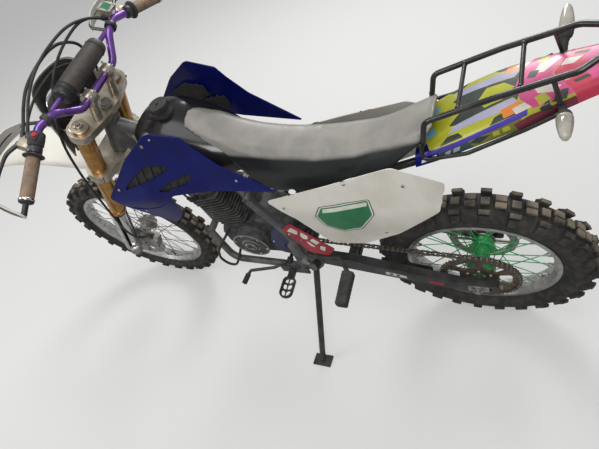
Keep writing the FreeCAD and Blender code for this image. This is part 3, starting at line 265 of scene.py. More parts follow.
# The finish of each CAD node that stays in view.
nodeFinish = {
    "rimAlloy": "rear_rim front_rim fork_guards",
    "greenPaint": "rear_hub",
    "darkSteel": "rear_sprocket exhaust_header",
    "castAlloy": "front_hub rear_caliper fork_lugs front_caliper",
    "framePaint": "frame_main",
    "blackMetal": "subframe swingarm plate_bracket footpegs foot_levers side_stand",
    "bareSteel": "spindles kick_starter front_axle",
    "blackRubber": "chain_guide breather_hose passenger_pegs",
    "castBlack": "engine_case",
    "headPaint": "engine_cylinder engine_head",
    "coverBlue": "sprocket_cover",
    "champagneAnodise": "triple_clamp_top triple_clamp_bottom",
    "goldAnodise": "fork_outer_tubes",
    "chromeTube": "fork_inner_tubes",
    "purpleAnodise": "handlebar",
}
for finishName, names in nodeFinish.items():
    for nodeName in names.split():
        nodes[nodeName].data.materials.clear()
        nodes[nodeName].data.materials.append(materials[finishName])
print("nodes painted")

# Shared making: lathes, tubes and blocks in millimetres, put where they belong through a space matrix.
wheelTurn = Matrix.Rotation(-pi / 2, 4, "X")    # a wheel is drawn flat: x and y across it, z along its axle
wheelSpace = {end: place @ wheelTurn for end, place in axleSpace.items()}


def latheMesh(profile, steps=96, closed=True):
    shell = bmesh.new()
    rings = []
    for i in range(steps):
        turn = 2 * pi * i / steps
        rings.append([shell.verts.new((r * cos(turn), r * sin(turn), z)) for r, z in profile])
    count = len(profile)
    for i in range(steps):
        here, there = rings[i], rings[(i + 1) % steps]
        for j in range(count if closed else count - 1):
            k = (j + 1) % count
            shell.faces.new((here[j], there[j], there[k], here[k]))
    bmesh.ops.remove_doubles(shell, verts=shell.verts, dist=0.001)
    bmesh.ops.recalc_face_normals(shell, faces=shell.faces)
    return shell


def tubeMesh(points, radius, sides=14, loop=False):
    shell = bmesh.new()
    places = [Vector(p) for p in points]
    count = len(places)
    side = None
    rings = []
    for i in range(count):
        before = places[i - 1] if i or loop else places[0]
        after = places[(i + 1) % count] if i < count - 1 or loop else places[i]
        along = (after - before).normalized()
        if side is None:
            side = along.orthogonal().normalized()
        side = (side - along * side.dot(along)).normalized()
        other = along.cross(side)
        r = radius[i] if isinstance(radius, (list, tuple)) else radius
        turns = [2 * pi * j / sides for j in range(sides)]
        rings.append([shell.verts.new(places[i] + (side * cos(t) + other * sin(t)) * r) for t in turns])
    for i in range(count if loop else count - 1):
        here, there = rings[i], rings[(i + 1) % count]
        for j in range(sides):
            shell.faces.new((here[j], here[(j + 1) % sides], there[(j + 1) % sides], there[j]))
    if not loop:
        shell.faces.new(rings[0][::-1])
        shell.faces.new(rings[-1])
    bmesh.ops.recalc_face_normals(shell, faces=shell.faces)
    return shell


def blockMesh(outline, y0, y1, bevel, segments=2):
    shell = bmesh.new()
    low = [shell.verts.new((x, y0, z)) for x, z in outline]
    high = [shell.verts.new((x, y1, z)) for x, z in outline]
    count = len(outline)
    for j in range(count):
        k = (j + 1) % count
        shell.faces.new((low[j], low[k], high[k], high[j]))
    shell.faces.new(low[::-1])
    shell.faces.new(high)
    bmesh.ops.recalc_face_normals(shell, faces=shell.faces)
    if bevel:
        bmesh.ops.bevel(shell, geom=shell.edges, offset=bevel, segments=segments, affect="EDGES", profile=0.6)
    return shell


def joined(shells):
    whole = bmesh.new()
    for shell in shells:
        mesh = bpy.data.meshes.new("bit")
        shell.to_mesh(mesh)
        shell.free()
        whole.from_mesh(mesh)
        bpy.data.meshes.remove(mesh)
    return whole


def turned(shell, matrix):
    bmesh.ops.transform(shell, matrix=matrix, verts=shell.verts)
    return shell


def asObject(name, shell, space=None, finishes=(), sharp=38):
    mesh = bpy.data.meshes.new(name)
    shell.to_mesh(mesh)
    shell.free()
    if space is not None:
        mesh.transform(space)
    mesh.polygons.foreach_set("use_smooth", [True] * len(mesh.polygons))
    mesh.set_sharp_from_angle(angle=radians(sharp))
    item = bpy.data.objects.new(name, mesh)
    scene.collection.objects.link(item)
    for finish in (finishes,) if isinstance(finishes, str) else finishes:
        mesh.materials.append(materials[finish])
    return item


def settle(item, body, *replaced):
    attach(item, body)
    if replaced:
        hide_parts(*replaced)
    return item


def addPiece(name, shell, space, finish, body, *replaced, sharp=38):
    return settle(asObject(name, shell, space, finish, sharp), body, *replaced)


# Geometry Nodes for what repeats. Every tree ends in Realize Instances and Set Material.
def startTree(name, sockets):
    tree = bpy.data.node_groups.new(name, "GeometryNodeTree")
    tree.interface.new_socket("Geometry", in_out="INPUT", socket_type="NodeSocketGeometry")
    for label, kind in sockets:
        tree.interface.new_socket(label, in_out="INPUT", socket_type=kind)
    tree.interface.new_socket("Geometry", in_out="OUTPUT", socket_type="NodeSocketGeometry")
    return tree, tree.nodes.new("NodeGroupInput"), tree.nodes.new("NodeGroupOutput")


def endTree(tree, source, finish, output):
    realize = addNode(tree, "GeometryNodeRealizeInstances", {0: source})
    paint = addNode(tree, "GeometryNodeSetMaterial", {"Geometry": realize.outputs[0], "Material": finish})
    tree.links.new(paint.outputs[0], output.inputs[0])
    return tree


def makeRingTree():
    # copies of one piece all round a wheel, each turned with its place
    tree, given, output = startTree("copiesRoundAxle", (
        ("Piece", "NodeSocketObject"), ("Count", "NodeSocketInt"), ("Start", "NodeSocketFloat"),
        ("Finish", "NodeSocketMaterial")))
    count = given.outputs["Count"]
    points = addNode(tree, "GeometryNodePoints", {"Count": count})
    index = addNode(tree, "GeometryNodeInputIndex")
    share = addNode(tree, "ShaderNodeMath", {0: index.outputs[0], 1: count}, operation="DIVIDE")
    angle = addNode(tree, "ShaderNodeMath", {0: share.outputs[0], 1: 2 * pi, 2: given.outputs["Start"]},
            operation="MULTIPLY_ADD")
    turn = addNode(tree, "ShaderNodeCombineXYZ", {"Z": angle.outputs[0]})
    piece = addNode(tree, "GeometryNodeObjectInfo", {"Object": given.outputs["Piece"]})
    copies = addNode(tree, "GeometryNodeInstanceOnPoints", {
        "Points": points.outputs[0], "Instance": piece.outputs["Geometry"], "Rotation": turn.outputs[0]})
    return endTree(tree, copies.outputs[0], given.outputs["Finish"], output)


def makePlaceTree():
    # one copy on each vertex, turned and sized by the vertex's own attributes
    tree, given, output = startTree("copiesOnPlaces", (
        ("Piece", "NodeSocketObject"), ("Size", "NodeSocketFloat"), ("Finish", "NodeSocketMaterial")))
    turn, grow = (addNode(tree, "GeometryNodeInputNamedAttribute", {"Name": label}, data_type="FLOAT_VECTOR")
            for label in ("turn", "grow"))
    scale = addNode(tree, "ShaderNodeVectorMath", {0: grow.outputs[0], "Scale": given.outputs["Size"]},
            operation="SCALE")
    piece = addNode(tree, "GeometryNodeObjectInfo", {"Object": given.outputs["Piece"]})
    copies = addNode(tree, "GeometryNodeInstanceOnPoints", {
        "Points": given.outputs["Geometry"], "Instance": piece.outputs["Geometry"],
        "Rotation": turn.outputs[0], "Scale": scale.outputs[0]})
    return endTree(tree, copies.outputs[0], given.outputs["Finish"], output)


ringTree, placeTree = makeRingTree(), makePlaceTree()


def grown(name, base, tree, values, space):
    # runs the tree on the base object and keeps the result as a plain mesh
    modifier = base.modifiers.new("copies", "NODES")
    modifier.node_group = tree
    sockets = {s.name: s.identifier for s in tree.interface.items_tree if s.in_out == "INPUT"}
    for label, value in values.items():
        modifier[sockets[label]] = value
    seen = bpy.context.evaluated_depsgraph_get()
    mesh = bpy.data.meshes.new_from_object(base.evaluated_get(seen), preserve_all_data_layers=True, depsgraph=seen)
    mesh.name = name
    bpy.data.objects.remove(base)
    mesh.transform(space)
    item = bpy.data.objects.new(name, mesh)
    scene.collection.objects.link(item)
    return item


def ringOf(name, shell, count, start, finish, space, sharp=38):
    piece = asObject(name + "One", shell, sharp=sharp)
    base = bpy.data.objects.new(name + "Base", bpy.data.meshes.new(name + "Base"))
    scene.collection.objects.link(base)
    item = grown(name, base, ringTree, {"Piece": piece, "Count": count, "Start": start, "Finish": materials[finish]},
            space)
    bpy.data.objects.remove(piece)
    return item


def placedCopies(name, shell, spots, turns, grows, finish, space, size=1.0, sharp=38):
    piece = asObject(name + "One", shell, sharp=sharp)
    mesh = bpy.data.meshes.new(name + "Base")
    mesh.from_pydata(spots, [], [])
    for label, values in (("turn", turns), ("grow", grows)):
        field = mesh.attributes.new(label, "FLOAT_VECTOR", "POINT")
        for entry, value in zip(field.data, values):
            entry.vector = value
    base = bpy.data.objects.new(name + "Base", mesh)
    scene.collection.objects.link(base)
    item = grown(name, base, placeTree, {"Piece": piece, "Size": size, "Finish": materials[finish]}, space)
    bpy.data.objects.remove(piece)
    return item


def copiesOf(name, shell, places, finish, space, sharp=38):
    # places: position, the direction its z points to, a turn about that, and a size on each axis
    turns = [(Vector(aim).to_track_quat("Z", "Y").to_matrix() @ Matrix.Rotation(spin, 3, "Z")).to_euler()
             for spot, aim, spin, scales in places]
    return placedCopies(name, shell, [place[0] for place in places], turns, [place[3] for place in places], finish,
            space, sharp=sharp)


def mergeItems(name, items):
    whole = bmesh.new()
    slots = []
    for item in items:
        start = len(whole.faces)
        whole.from_mesh(item.data)
        whole.faces.ensure_lookup_table()
        shift = len(slots)
        slots += list(item.data.materials)
        for face in whole.faces[start:]:
            face.material_index += shift
        bpy.data.objects.remove(item)
    mesh = bpy.data.meshes.new(name)
    whole.to_mesh(mesh)
    whole.free()
    for slotMaterial in slots:
        mesh.materials.append(slotMaterial)
    merged = bpy.data.objects.new(name, mesh)
    scene.collection.objects.link(merged)
    return merged


# Tyres: a smooth carcass with side rings, and rows of separate bevelled knobs.
def tyreFinish(end, name, tipRadius):
    # the knobs' worn tops carry pale dust, their sides stay black
    material = makeFinish(name, (0.017, 0.017, 0.017), (0.045, 0.038, 0.03), 45, 0.75, 0.3)
    tree = material.node_tree
    coords = next(n for n in tree.nodes if n.type == "TEX_COORD").outputs["Object"]
    place = addNode(tree, "ShaderNodeMapping", {
        "Vector": coords, "Location": axleSpace[end].translation,
        "Rotation": (Matrix.Scale(1000, 4) @ axleSpace[end]).to_euler()}, vector_type="TEXTURE")
    flat = addNode(tree, "ShaderNodeVectorMath", {0: place.outputs[0], 1: (1, 0, 1)}, operation="MULTIPLY")
    reach = addNode(tree, "ShaderNodeVectorMath", {0: flat.outputs[0]}, operation="LENGTH")
    top = addNode(tree, "ShaderNodeMapRange", {
        "Value": reach.outputs["Value"], "From Min": (tipRadius - 9) / 1000, "From Max": (tipRadius - 1) / 1000,
        "To Max": 0.85})
    amount = addNode(tree, "ShaderNodeMath", {0: top.outputs["Result"],
            1: noiseField(tree, coords, 14, 0.35, 0.6, 6)}, operation="MULTIPLY")
    overlaid(tree, amount.outputs[0], (0.24, 0.195, 0.14))
    return material


tyreSizes = {
    "rear": dict(bead=228.5, beadHalf=27.0, sideHalf=53.0, side=282.0, crownHalf=36.0, crown=319.0, tip=337.0,
        rows=26, lugHalf=20.0, lugLong=30.0, groove=5.0),
    "front": dict(bead=266.7, beadHalf=20.0, sideHalf=41.0, side=303.0, crownHalf=28.0, crown=336.0, tip=352.5,
        rows=28, lugHalf=15.0, lugLong=25.5, groove=4.0)}


def makeTyre(end, bead, beadHalf, sideHalf, side, crownHalf, crown, tip, rows, lugHalf, lugLong, groove):
    material = tyreFinish(end, end + "TyreRubber", tip)
    materials[end + "Tyre"] = material
    half = [(bead + 0.6, beadHalf - 0.4), (bead + 9, beadHalf + 0.6), (bead + 13, beadHalf + 4.5),
            (bead + 17, beadHalf + 4.8), (bead + 19, beadHalf + 7), ((bead + side) / 2 + 6, sideHalf - 7),
            (side - 8, sideHalf - 1.6), (side - 6, sideHalf + 0.4), (side - 3, sideHalf + 0.6), (side, sideHalf - 0.4),
            (side + 12, sideHalf - 3.5), (crown - 10, crownHalf + 5), (crown - 3, crownHalf - 4),
            (crown + 0.5, crownHalf * 0.5), (crown + 1.2, 0)]
    carcass = latheMesh(half + [(r, -z) for r, z in reversed(half[:-1])], 144)
    pieces = [asObject(end + "Carcass", carcass, wheelSpace[end], end + "Tyre", 60)]
    step = 2 * pi / rows
    middle = (lugHalf + groove / 2) / 2
    centre = joined([blockMesh([(crown - 6, s * middle - lugHalf * 0.47), (tip - 0.2, s * middle - lugHalf * 0.42),
            (tip - 0.2, s * middle + lugHalf * 0.42), (crown - 6, s * middle + lugHalf * 0.47)],
            -lugLong / 2, lugLong / 2, 1.4) for s in (-1, 1)])
    edge = crownHalf
    shoulder = [blockMesh([(crown - 6, -lugHalf * 0.62), (tip - 1.2, -lugHalf * 0.55), (tip - 1.2, lugHalf * 0.55),
            (crown - 6, lugHalf * 0.62)], -lugLong * 0.40, lugLong * 0.40, 1.3)]
    for s in (-1, 1):
        upper = [(crown - 6, s * (edge - 6)), (tip - 2, s * (edge - 5)), (tip - 5.5, s * (edge + 8)),
                 (crown - 12, s * (edge + 4))]
        lower = [(crown - 12, s * (edge + 1)), (tip - 13, s * (edge + 9.5)), (side + 20, s * (sideHalf + 4)),
                 (side + 10, s * (sideHalf - 6))]
        shoulder.append(blockMesh(upper, -lugLong / 2, lugLong / 2, 1.3))
        shoulder.append(blockMesh(lower, -lugLong / 2 + 2, lugLong / 2 - 2, 1.2))
        rib = [(side - 16, s * (sideHalf - 5)), (side + 14, s * (sideHalf - 6)), (side + 8, s * (sideHalf - 0.5)),
               (side - 10, s * (sideHalf - 1.4))]
        shoulder.append(blockMesh(rib, -1.6, 1.6, 0.5, 1))
    pieces.append(ringOf(end + "Knobs", centre, rows, pi / 2 + 0.25 * step, end + "Tyre", wheelSpace[end], 50))
    pieces.append(ringOf(end + "Shoulders", joined(shoulder), rows, pi / 2 - 0.25 * step, end + "Tyre",
            wheelSpace[end], 50))
    return settle(mergeItems(end + "Tyre", pieces), end + "_wheel", end + "_tyre")


for end, size in tyreSizes.items():
    makeTyre(end, **size)
print("tyres made")


# Spokes with butted ends and nipples; the flanges' holes are where the frame's spokes start.
spokeSizes = {
    "rear": dict(hubHalf=30.0, bead=228.5, finish="greenPaint"),
    "front": dict(hubHalf=26.0, bead=266.7, finish="bareSteel")}
spokeShape = {"count": 36, "swing": radians(62), "hubReach": 45.9, "rimDepth": 15.6, "thick": 1.7, "nipple": 3.4}


def makeSpokes(end, hubHalf, bead, finish):
    bars, nipples = [], []
    count = spokeShape["count"]
    for i in range(count):
        side = 1 if i % 2 == 0 else -1
        swing = 1 if (i // 2) % 2 == 0 else -1
        rimTurn = 2 * pi * i / count
        hubTurn = rimTurn + swing * spokeShape["swing"]
        inner = Vector((spokeShape["hubReach"] * cos(hubTurn), side * (hubHalf + swing * 2),
                spokeShape["hubReach"] * sin(hubTurn)))
        reach = bead - spokeShape["rimDepth"]
        outer = Vector((reach * cos(rimTurn), side * 4, reach * sin(rimTurn)))
        along = (outer - inner).normalized()
        bars.append(tubeMesh([inner - along * 1, inner + along * 14, inner + along * 20, outer],
                [2.0, 2.0, spokeShape["thick"], spokeShape["thick"]], 8))
        r = spokeShape["nipple"]
        nipples.append(tubeMesh([outer - along * 17, outer - along * 16, outer - along * 3, outer - along * 1],
                [r * 0.75, r, r, r * 1.3], 6))
    wires = asObject(end + "SpokeWires", joined(bars), axleSpace[end], finish)
    ends = asObject(end + "Nipples", joined(nipples), axleSpace[end], "bareSteel", 25)
    return settle(mergeItems(end + "Spokes", [wires, ends]), end + "_wheel", end + "_spokes")


for end, size in spokeSizes.items():
    makeSpokes(end, **size)
print("spokes made")


# Chain: link plates and rollers all along the loop over both sprockets.
chainSizes = {"pitch": 15.875, "rearTeeth": 48, "frontTeeth": 13, "line": 72.0, "frontShaft": (640.0, 478.0),
        "inside": 3.2, "plate": 1.4, "roller": 5.0, "plateHigh": 6.6}


def chainPath():
    # the loop's points, evenly spaced by about one pitch, with the direction along it
    rearPlace = bikeSpace.inverted() @ rearAxle
    ra = chainSizes["pitch"] / (2 * sin(pi / chainSizes["rearTeeth"]))
    rb = chainSizes["pitch"] / (2 * sin(pi / chainSizes["frontTeeth"]))
    a, b = Vector((rearPlace.x, rearPlace.z)), Vector(chainSizes["frontShaft"])
    gap = (b - a).length
    line = math.atan2(b.y - a.y, b.x - a.x)
    wrap = math.acos((ra - rb) / gap)
    run = gap * sin(wrap)
    parts = [("arc", a, ra, line + wrap, 2 * (pi - wrap)), ("run", a, ra, line - wrap, run),
             ("arc", b, rb, line - wrap, 2 * wrap), ("run", b, rb, line + wrap, run)]
    lengths = [p[2] * p[4] if p[0] == "arc" else p[4] for p in parts]
    whole = sum(lengths)
    count = int(round(whole / chainSizes["pitch"] / 2)) * 2
    spots = []
    for i in range(count):
        way = whole * i / count
        for (kind, c, r, turn, span), length in zip(parts, lengths):
            if way <= length:
                break
            way -= length
        if kind == "arc":
            angle = turn + way / r
            spot = c + Vector((cos(angle), sin(angle))) * r
            tangent = angle + pi / 2
        else:
            tangent = turn + pi / 2
            spot = c + Vector((cos(turn), sin(turn))) * r + Vector((cos(tangent), sin(tangent))) * way
        spots.append((spot, tangent))
    return spots


def linkShell(y0, y1, waist):
    # one side plate of a link: two round ends and a waist
    outline = []
    half, high = chainSizes["pitch"] / 2, chainSizes["plateHigh"]
    for side in (1, -1):
        for k in range(9):
            turn = -pi / 2 + pi * k / 8
            outline.append((side * half + side * cos(turn) * high, side * sin(turn) * high))
        outline.append((0, side * high * waist))
    return blockMesh(outline, y0, y1, 0.25, 1)


def makeChain():
    spots = chainPath()
    inside, plate = chainSizes["inside"], chainSizes["plate"]
    inner = [linkShell(inside, inside + plate, 0.72), linkShell(-inside - plate, -inside, 0.72)]
    outer = [linkShell(inside + plate + 0.15, inside + 2 * plate, 0.72),
             linkShell(-inside - 2 * plate, -inside - plate - 0.15, 0.72)]
    pin = tubeMesh([(0, -inside - 2 * plate - 0.5, 0), (0, inside + 2 * plate + 0.5, 0)], 2.4, 8)
    roller = tubeMesh([(0, -inside, 0), (0, inside, 0)], chainSizes["roller"], 12)
    groups = {"inner": [], "outer": [], "pin": []}
    for i, (spot, tangent) in enumerate(spots):
        follow = spots[(i + 1) % len(spots)][0]
        middle = (spot + follow) / 2
        slope = math.atan2(follow.y - spot.y, follow.x - spot.x)
        place = (middle.x, chainSizes["line"], middle.y)
        groups["inner" if i % 2 == 0 else "outer"].append((place, slope))
        groups["pin"].append(((spot.x, chainSizes["line"], spot.y), tangent))
    items = []
    for label, shell in (("inner", joined(inner)), ("outer", joined(outer)), ("pin", joined([pin, roller]))):
        links = [place for place, slope in groups[label]]
        items.append(placedCopies(label + "Links", shell, links, [(0, -slope, 0) for place, slope in groups[label]],
                [(1, 1, 1)] * len(links), "bareSteel" if label == "pin" else "chainSteel",
                bikeSpace))
    return settle(mergeItems("chainLinks", items), "chassis", "chain")


makeChain()
print("chain made")


# Smooth skins: rows along x are eased into one another, and panels are cut from a sheet by their outline.
def easedRows(rows, count):
    rows = sorted(rows)
    result = []
    for i in range(count):
        x = rows[0][0] + (rows[-1][0] - rows[0][0]) * i / (count - 1)
        k = max(j for j in range(len(rows) - 1) if rows[j][0] <= x + 1e-6)
        a, b = rows[k], rows[k + 1]
        before, after = rows[max(k - 1, 0)], rows[min(k + 2, len(rows) - 1)]
        span = b[0] - a[0]
        t = (x - a[0]) / span
        values = [x]
        for j in range(1, len(a)):
            slopeA = (b[j] - before[j]) / (b[0] - before[0]) * span
            slopeB = (after[j] - a[j]) / (after[0] - a[0]) * span
            values.append((2 * t ** 3 - 3 * t ** 2 + 1) * a[j] + (t ** 3 - 2 * t ** 2 + t) * slopeA
                    + (3 * t ** 2 - 2 * t ** 3) * b[j] + (t ** 3 - t ** 2) * slopeB)
        result.append(tuple(values))
    return result


def ringsMesh(rings):
    shell = bmesh.new()
    loops = [[shell.verts.new(p) for p in ring] for ring in rings]
    count = len(loops[0])
    for here, there in zip(loops, loops[1:]):
        for j in range(count):
            k = (j + 1) % count
            shell.faces.new((here[j], here[k], there[k], there[j]))
    for loop in (loops[0], loops[-1]):
        pole = shell.verts.new(sum((v.co for v in loop), Vector()) / count)
        for j in range(count):
            shell.faces.new((loop[j], loop[(j + 1) % count], pole))
    bmesh.ops.recalc_face_normals(shell, faces=shell.faces)
    return shell


def halfToRing(x, half):
    # a half section from bottom centre to top centre, as a whole loop
    return [(x, y, z) for y, z in half] + [(x, -y, z) for y, z in reversed(half[1:-1])]


def applied(item):
    seen = bpy.context.evaluated_depsgraph_get()
    mesh = bpy.data.meshes.new_from_object(item.evaluated_get(seen), preserve_all_data_layers=True, depsgraph=seen)
    item.modifiers.clear()
    item.data = mesh
    return item


def subdivided(item, levels=1):
    modifier = item.modifiers.new("smooth", "SUBSURF")
    modifier.levels = modifier.render_levels = levels
    return applied(item)


def puffed(item, voxel, pressure, cap, held):
    # remesh, swell the cover with cloth pressure, and hold the places that rest on something
    remesh = item.modifiers.new("remesh", "REMESH")
    remesh.mode = "VOXEL"
    remesh.voxel_size = voxel
    remesh.use_smooth_shade = True
    applied(item)
    start = [v.co.copy() for v in item.data.vertices]
    group = item.vertex_groups.new(name="held")
    inverse = bikeSpace.inverted()
    group.add([v.index for v in item.data.vertices if held(inverse @ v.co)], 1.0, "REPLACE")
    cloth = item.modifiers.new("cover", "CLOTH")
    cloth.settings.use_pressure = True
    cloth.settings.uniform_pressure_force = pressure
    cloth.settings.effector_weights.gravity = 0
    cloth.settings.vertex_group_mass = "held"
    cloth.point_cache.frame_start, cloth.point_cache.frame_end = 1, 20
    for frameNumber in range(1, 21):
        scene.frame_set(frameNumber)
    applied(item)
    for v, before in zip(item.data.vertices, start):
        move = v.co - before
        if move.length > cap:
            v.co = before + move.normalized() * cap
    scene.frame_set(1)
    return item


def roundedOutline(points, steps=6):
    # points of x, z and corner radius, as a plain list of x and z
    result = []
    count = len(points)
    for i, (x, z, r) in enumerate(points):
        here = Vector((x, z))
        before = (Vector(points[i - 1][:2]) - here).normalized()
        after = (Vector(points[(i + 1) % count][:2]) - here).normalized()
        if r <= 0:
            result.append((x, z))
            continue
        cut = r / math.tan(before.angle(after) / 2)
        a, b = here + before * cut, here + after * cut
        for k in range(steps + 1):
            t = k / steps
            spot = a * (1 - t) ** 2 + here * 2 * t * (1 - t) + b * t ** 2
            result.append((spot.x, spot.y))
    return result


def insideOutline(x, z, outline):
    hit = False
    for (x0, z0), (x1, z1) in zip(outline, outline[1:] + outline[:1]):
        if (z0 > z) != (z1 > z) and x < (x1 - x0) * (z - z0) / (z1 - z0) + x0:
            hit = not hit
    return hit


def sheetHeight(levels, x, z):
    # how far out the ruled sheet stands at x and z, with its folds eased
    def at(height):
        height = min(max(height, levels[0][0]), levels[-1][0])
        for (z0, low), (z1, high) in zip(levels, levels[1:]):
            if height <= z1:
                break
        values = []
        for line in (low, high):
            for (x0, y0), (x1, y1) in zip(line, line[1:]):
                if x <= x1:
                    break
            values.append(y0 + (y1 - y0) * (x - x0) / (x1 - x0))
        return values[0] + (values[1] - values[0]) * (height - z0) / (z1 - z0)
    ease = 22
    return (at(z - ease) + 2 * at(z) + at(z + ease)) / 4


def triangulated(loops, voids, grid, near, clear):
    # the loops' points and a grid between them, joined to triangles inside the first loop and outside the voids
    points, edges = [], []
    for loop in loops:
        start = len(points)
        points += [Vector(p) for p in loop]
        edges += [(start + i, start + (i + 1) % len(loop)) for i in range(len(loop))]
    rims = list(points)
    xs, ys = [p.x for p in points[:len(loops[0])]], [p.y for p in points[:len(loops[0])]]
    for i in range(int((max(xs) - min(xs)) / grid) + 1):
        for j in range(int((max(ys) - min(ys)) / grid) + 1):
            spot = Vector((min(xs) + i * grid + (j % 2) * grid / 2, min(ys) + j * grid))
            if insideOutline(spot.x, spot.y, loops[0]) and min((spot - rim).length for rim in rims) > grid * near:
                if not (clear and any(insideOutline(spot.x, spot.y, hole) for hole in voids)):
                    points.append(spot)
    verts, _, faces, _, _, _ = delaunay_2d_cdt(points, edges, [], 0, 0.01)
    kept = []
    for face in faces:
        middle = sum((verts[k] for k in face), Vector((0, 0))) / len(face)
        if insideOutline(middle.x, middle.y, loops[0]) and not any(
                insideOutline(middle.x, middle.y, hole) for hole in voids):
            kept.append((face, middle))
    return verts, kept


def facing(shell, way):
    # drops loose points and turns the sheet's faces the given way
    bmesh.ops.delete(shell, geom=[v for v in shell.verts if not v.link_faces], context="VERTS")
    bmesh.ops.recalc_face_normals(shell, faces=shell.faces)
    shell.normal_update()
    if sum(f.normal.dot(Vector(way)) * f.calc_area() for f in shell.faces) < 0:
        bmesh.ops.reverse_faces(shell, faces=shell.faces)


def panelShell(outline, holes, levels, out, thick, side, grid=14):
    # a skin over the ruled sheet inside the outline
    loops = [roundedOutline(line) for line in (outline, *holes)]
    verts, faces = triangulated(loops, loops[1:], grid, 0.55, True)
    shell = bmesh.new()
    made = [shell.verts.new((p.x, side * (sheetHeight(levels, p.x, p.y) + out), p.y)) for p in verts]
    for face, middle in faces:
        shell.faces.new([made[k] for k in face])
    facing(shell, (0, side, 0))
    bmesh.ops.solidify(shell, geom=shell.faces, thickness=thick)
    bmesh.ops.recalc_face_normals(shell, faces=shell.faces)
    return shell


# Sheets with coloured patches: an outline in u and v, laid on a surface that place(u, v) gives.
def denseLoop(points, step):
    result = []
    for a, b in zip(points, points[1:] + points[:1]):
        a, b = Vector(a[:2]), Vector(b[:2])
        count = max(int((b - a).length / step), 1)
        result += [a.lerp(b, k / count) for k in range(count)]
    return result


def thickened(shell, thick, inner):
    # a second layer under the sheet, in the inner finish, and walls between their edges
    shell.normal_update()
    under = {v: shell.verts.new(v.co - v.normal * thick) for v in list(shell.verts)}
    rims = [edge for edge in shell.edges if len(edge.link_faces) == 1]
    faces = list(shell.faces)
    for edge in rims:
        loop = next(loop for loop in edge.link_faces[0].loops if loop.edge == edge)
        a, b = loop.vert, loop.link_loop_next.vert
        wall = shell.faces.new((b, a, under[a], under[b]))
        wall.material_index = edge.link_faces[0].material_index
    for face in faces:
        layer = shell.faces.new([under[v] for v in reversed(face.verts)])
        layer.material_index = inner
    return shell


def patchSheet(outline, patches, place, thick, grid, holes=(), inner=0, outward=(0, 0, 1)):
    # each patch is its outline and the number of its finish; a later one lies over an earlier one
    loops = [denseLoop(list(line), grid) for line in (outline, *holes, *(line for line, finish in patches))]
    voids = loops[1:1 + len(holes)]
    verts, faces = triangulated(loops, voids, grid, 0.5, False)
    shell = bmesh.new()
    made = [shell.verts.new(place(p.x, p.y)) for p in verts]
    for face, middle in faces:
        kept = shell.faces.new([made[k] for k in face])
        for (line, finish), loop in zip(patches, loops[1 + len(holes):]):
            if insideOutline(middle.x, middle.y, loop):
                kept.material_index = finish
    facing(shell, outward)
    return thickened(shell, thick, inner)


def smoothLine(points, count):
    return [Vector(row[1:]) for row in easedRows([(i,) + tuple(p) for i, p in enumerate(points)], count)]


def bentLine(points, steps=6):
    # points of x, y, z and bend radius, as a plain line with rounded corners
    result = [Vector(points[0][:3])]
    for i in range(1, len(points) - 1):
        x, y, z, r = points[i]
        here = Vector((x, y, z))
        before, after = Vector(points[i - 1][:3]) - here, Vector(points[i + 1][:3]) - here
        cut = min(r / math.tan(before.angle(after) / 2), before.length * 0.48, after.length * 0.48)
        a, b = here + before.normalized() * cut, here + after.normalized() * cut
        result += [a * (1 - k / steps) ** 2 + here * 2 * k / steps * (1 - k / steps) + b * (k / steps) ** 2
                   for k in range(steps + 1)]
    return result + [Vector(points[-1][:3])]


def mirrored(shell):
    other = shell.copy()
    bmesh.ops.scale(other, vec=(1, -1, 1), verts=other.verts)
    bmesh.ops.reverse_faces(other, faces=other.faces)
    return other


def bothSides(shell):
    return joined([mirrored(shell), shell])


def lineSpace(start, end):
    # a space whose z runs from start towards end
    start, end = Vector(start), Vector(end)
    return Matrix.Translation(start) @ (end - start).to_track_quat("Z", "Y").to_matrix().to_4x4()


def spun(profile, steps, start, end, closed=False):
    # a turned part whose axis runs from start towards end
    return turned(latheMesh(profile, steps, closed=closed), lineSpace(start, end))


def stood(profile, steps, spot, closed=False):
    # a turned part standing on a spot
    return turned(latheMesh(profile, steps, closed=closed), Matrix.Translation(spot))


def ringSpots(radius, count, start=0.0):
    return [(radius * cos(t), radius * sin(t)) for t in (2 * pi * k / count + start for k in range(count))]


def rowAt(rows, x):
    rows = sorted(rows)
    for a, b in zip(rows, rows[1:]):
        if x <= b[0]:
            break
    t = (x - a[0]) / (b[0] - a[0])
    return [p + (q - p) * t for p, q in zip(a, b)]


# Seat: foam swollen under one cover, black down its sides, with a painted pale sheen on its top.
seatShape = {
    "rows": (    # x, centre top, edge height and half width, lower edge height and half width
        (758, 1058, 1046, 30, 1034, 36), (700, 1030, 1018, 50, 1000, 64), (640, 992, 976, 60, 925, 80),
        (560, 960, 943, 66, 826, 92), (450, 944, 928, 68, 828, 95), (330, 949, 934, 68, 856, 94),
        (200, 976, 960, 62, 904, 88), (110, 1024, 1010, 52, 980, 76), (76, 1044, 1036, 42, 1024, 56)),
    "seam": ((60, 1030), (102, 1001), (183, 968), (275, 940), (390, 927), (511, 932), (600, 944), (654, 956),
        (700, 980),
        (752, 1012), (780, 1030)),
    "stations": 44, "voxel": 0.006, "pressure": 4.0, "cap": 0.004,
    # the top's pale colour is painted sheen: the light the dark cover reflects on top, painted in
    "sheenTopFinish": ((0.225, 0.212, 0.19), (0.18, 0.17, 0.152), 16, 0.40, 0.16), "sideColor": (0.013, 0.015, 0.015),
    # the band below is where the painted pale sheen on top fades into the black side
    "sheenBand": (7.0, -5.0)}    # mm over the seam line, where the pale top gives way to the black side


def seamHeight(x):
    line = seatShape["seam"]
    for (x0, z0), (x1, z1) in zip(line, line[1:]):
        if x <= x1:
            return z0 + (z1 - z0) * (x - x0) / (x1 - x0)
    return line[-1][1]


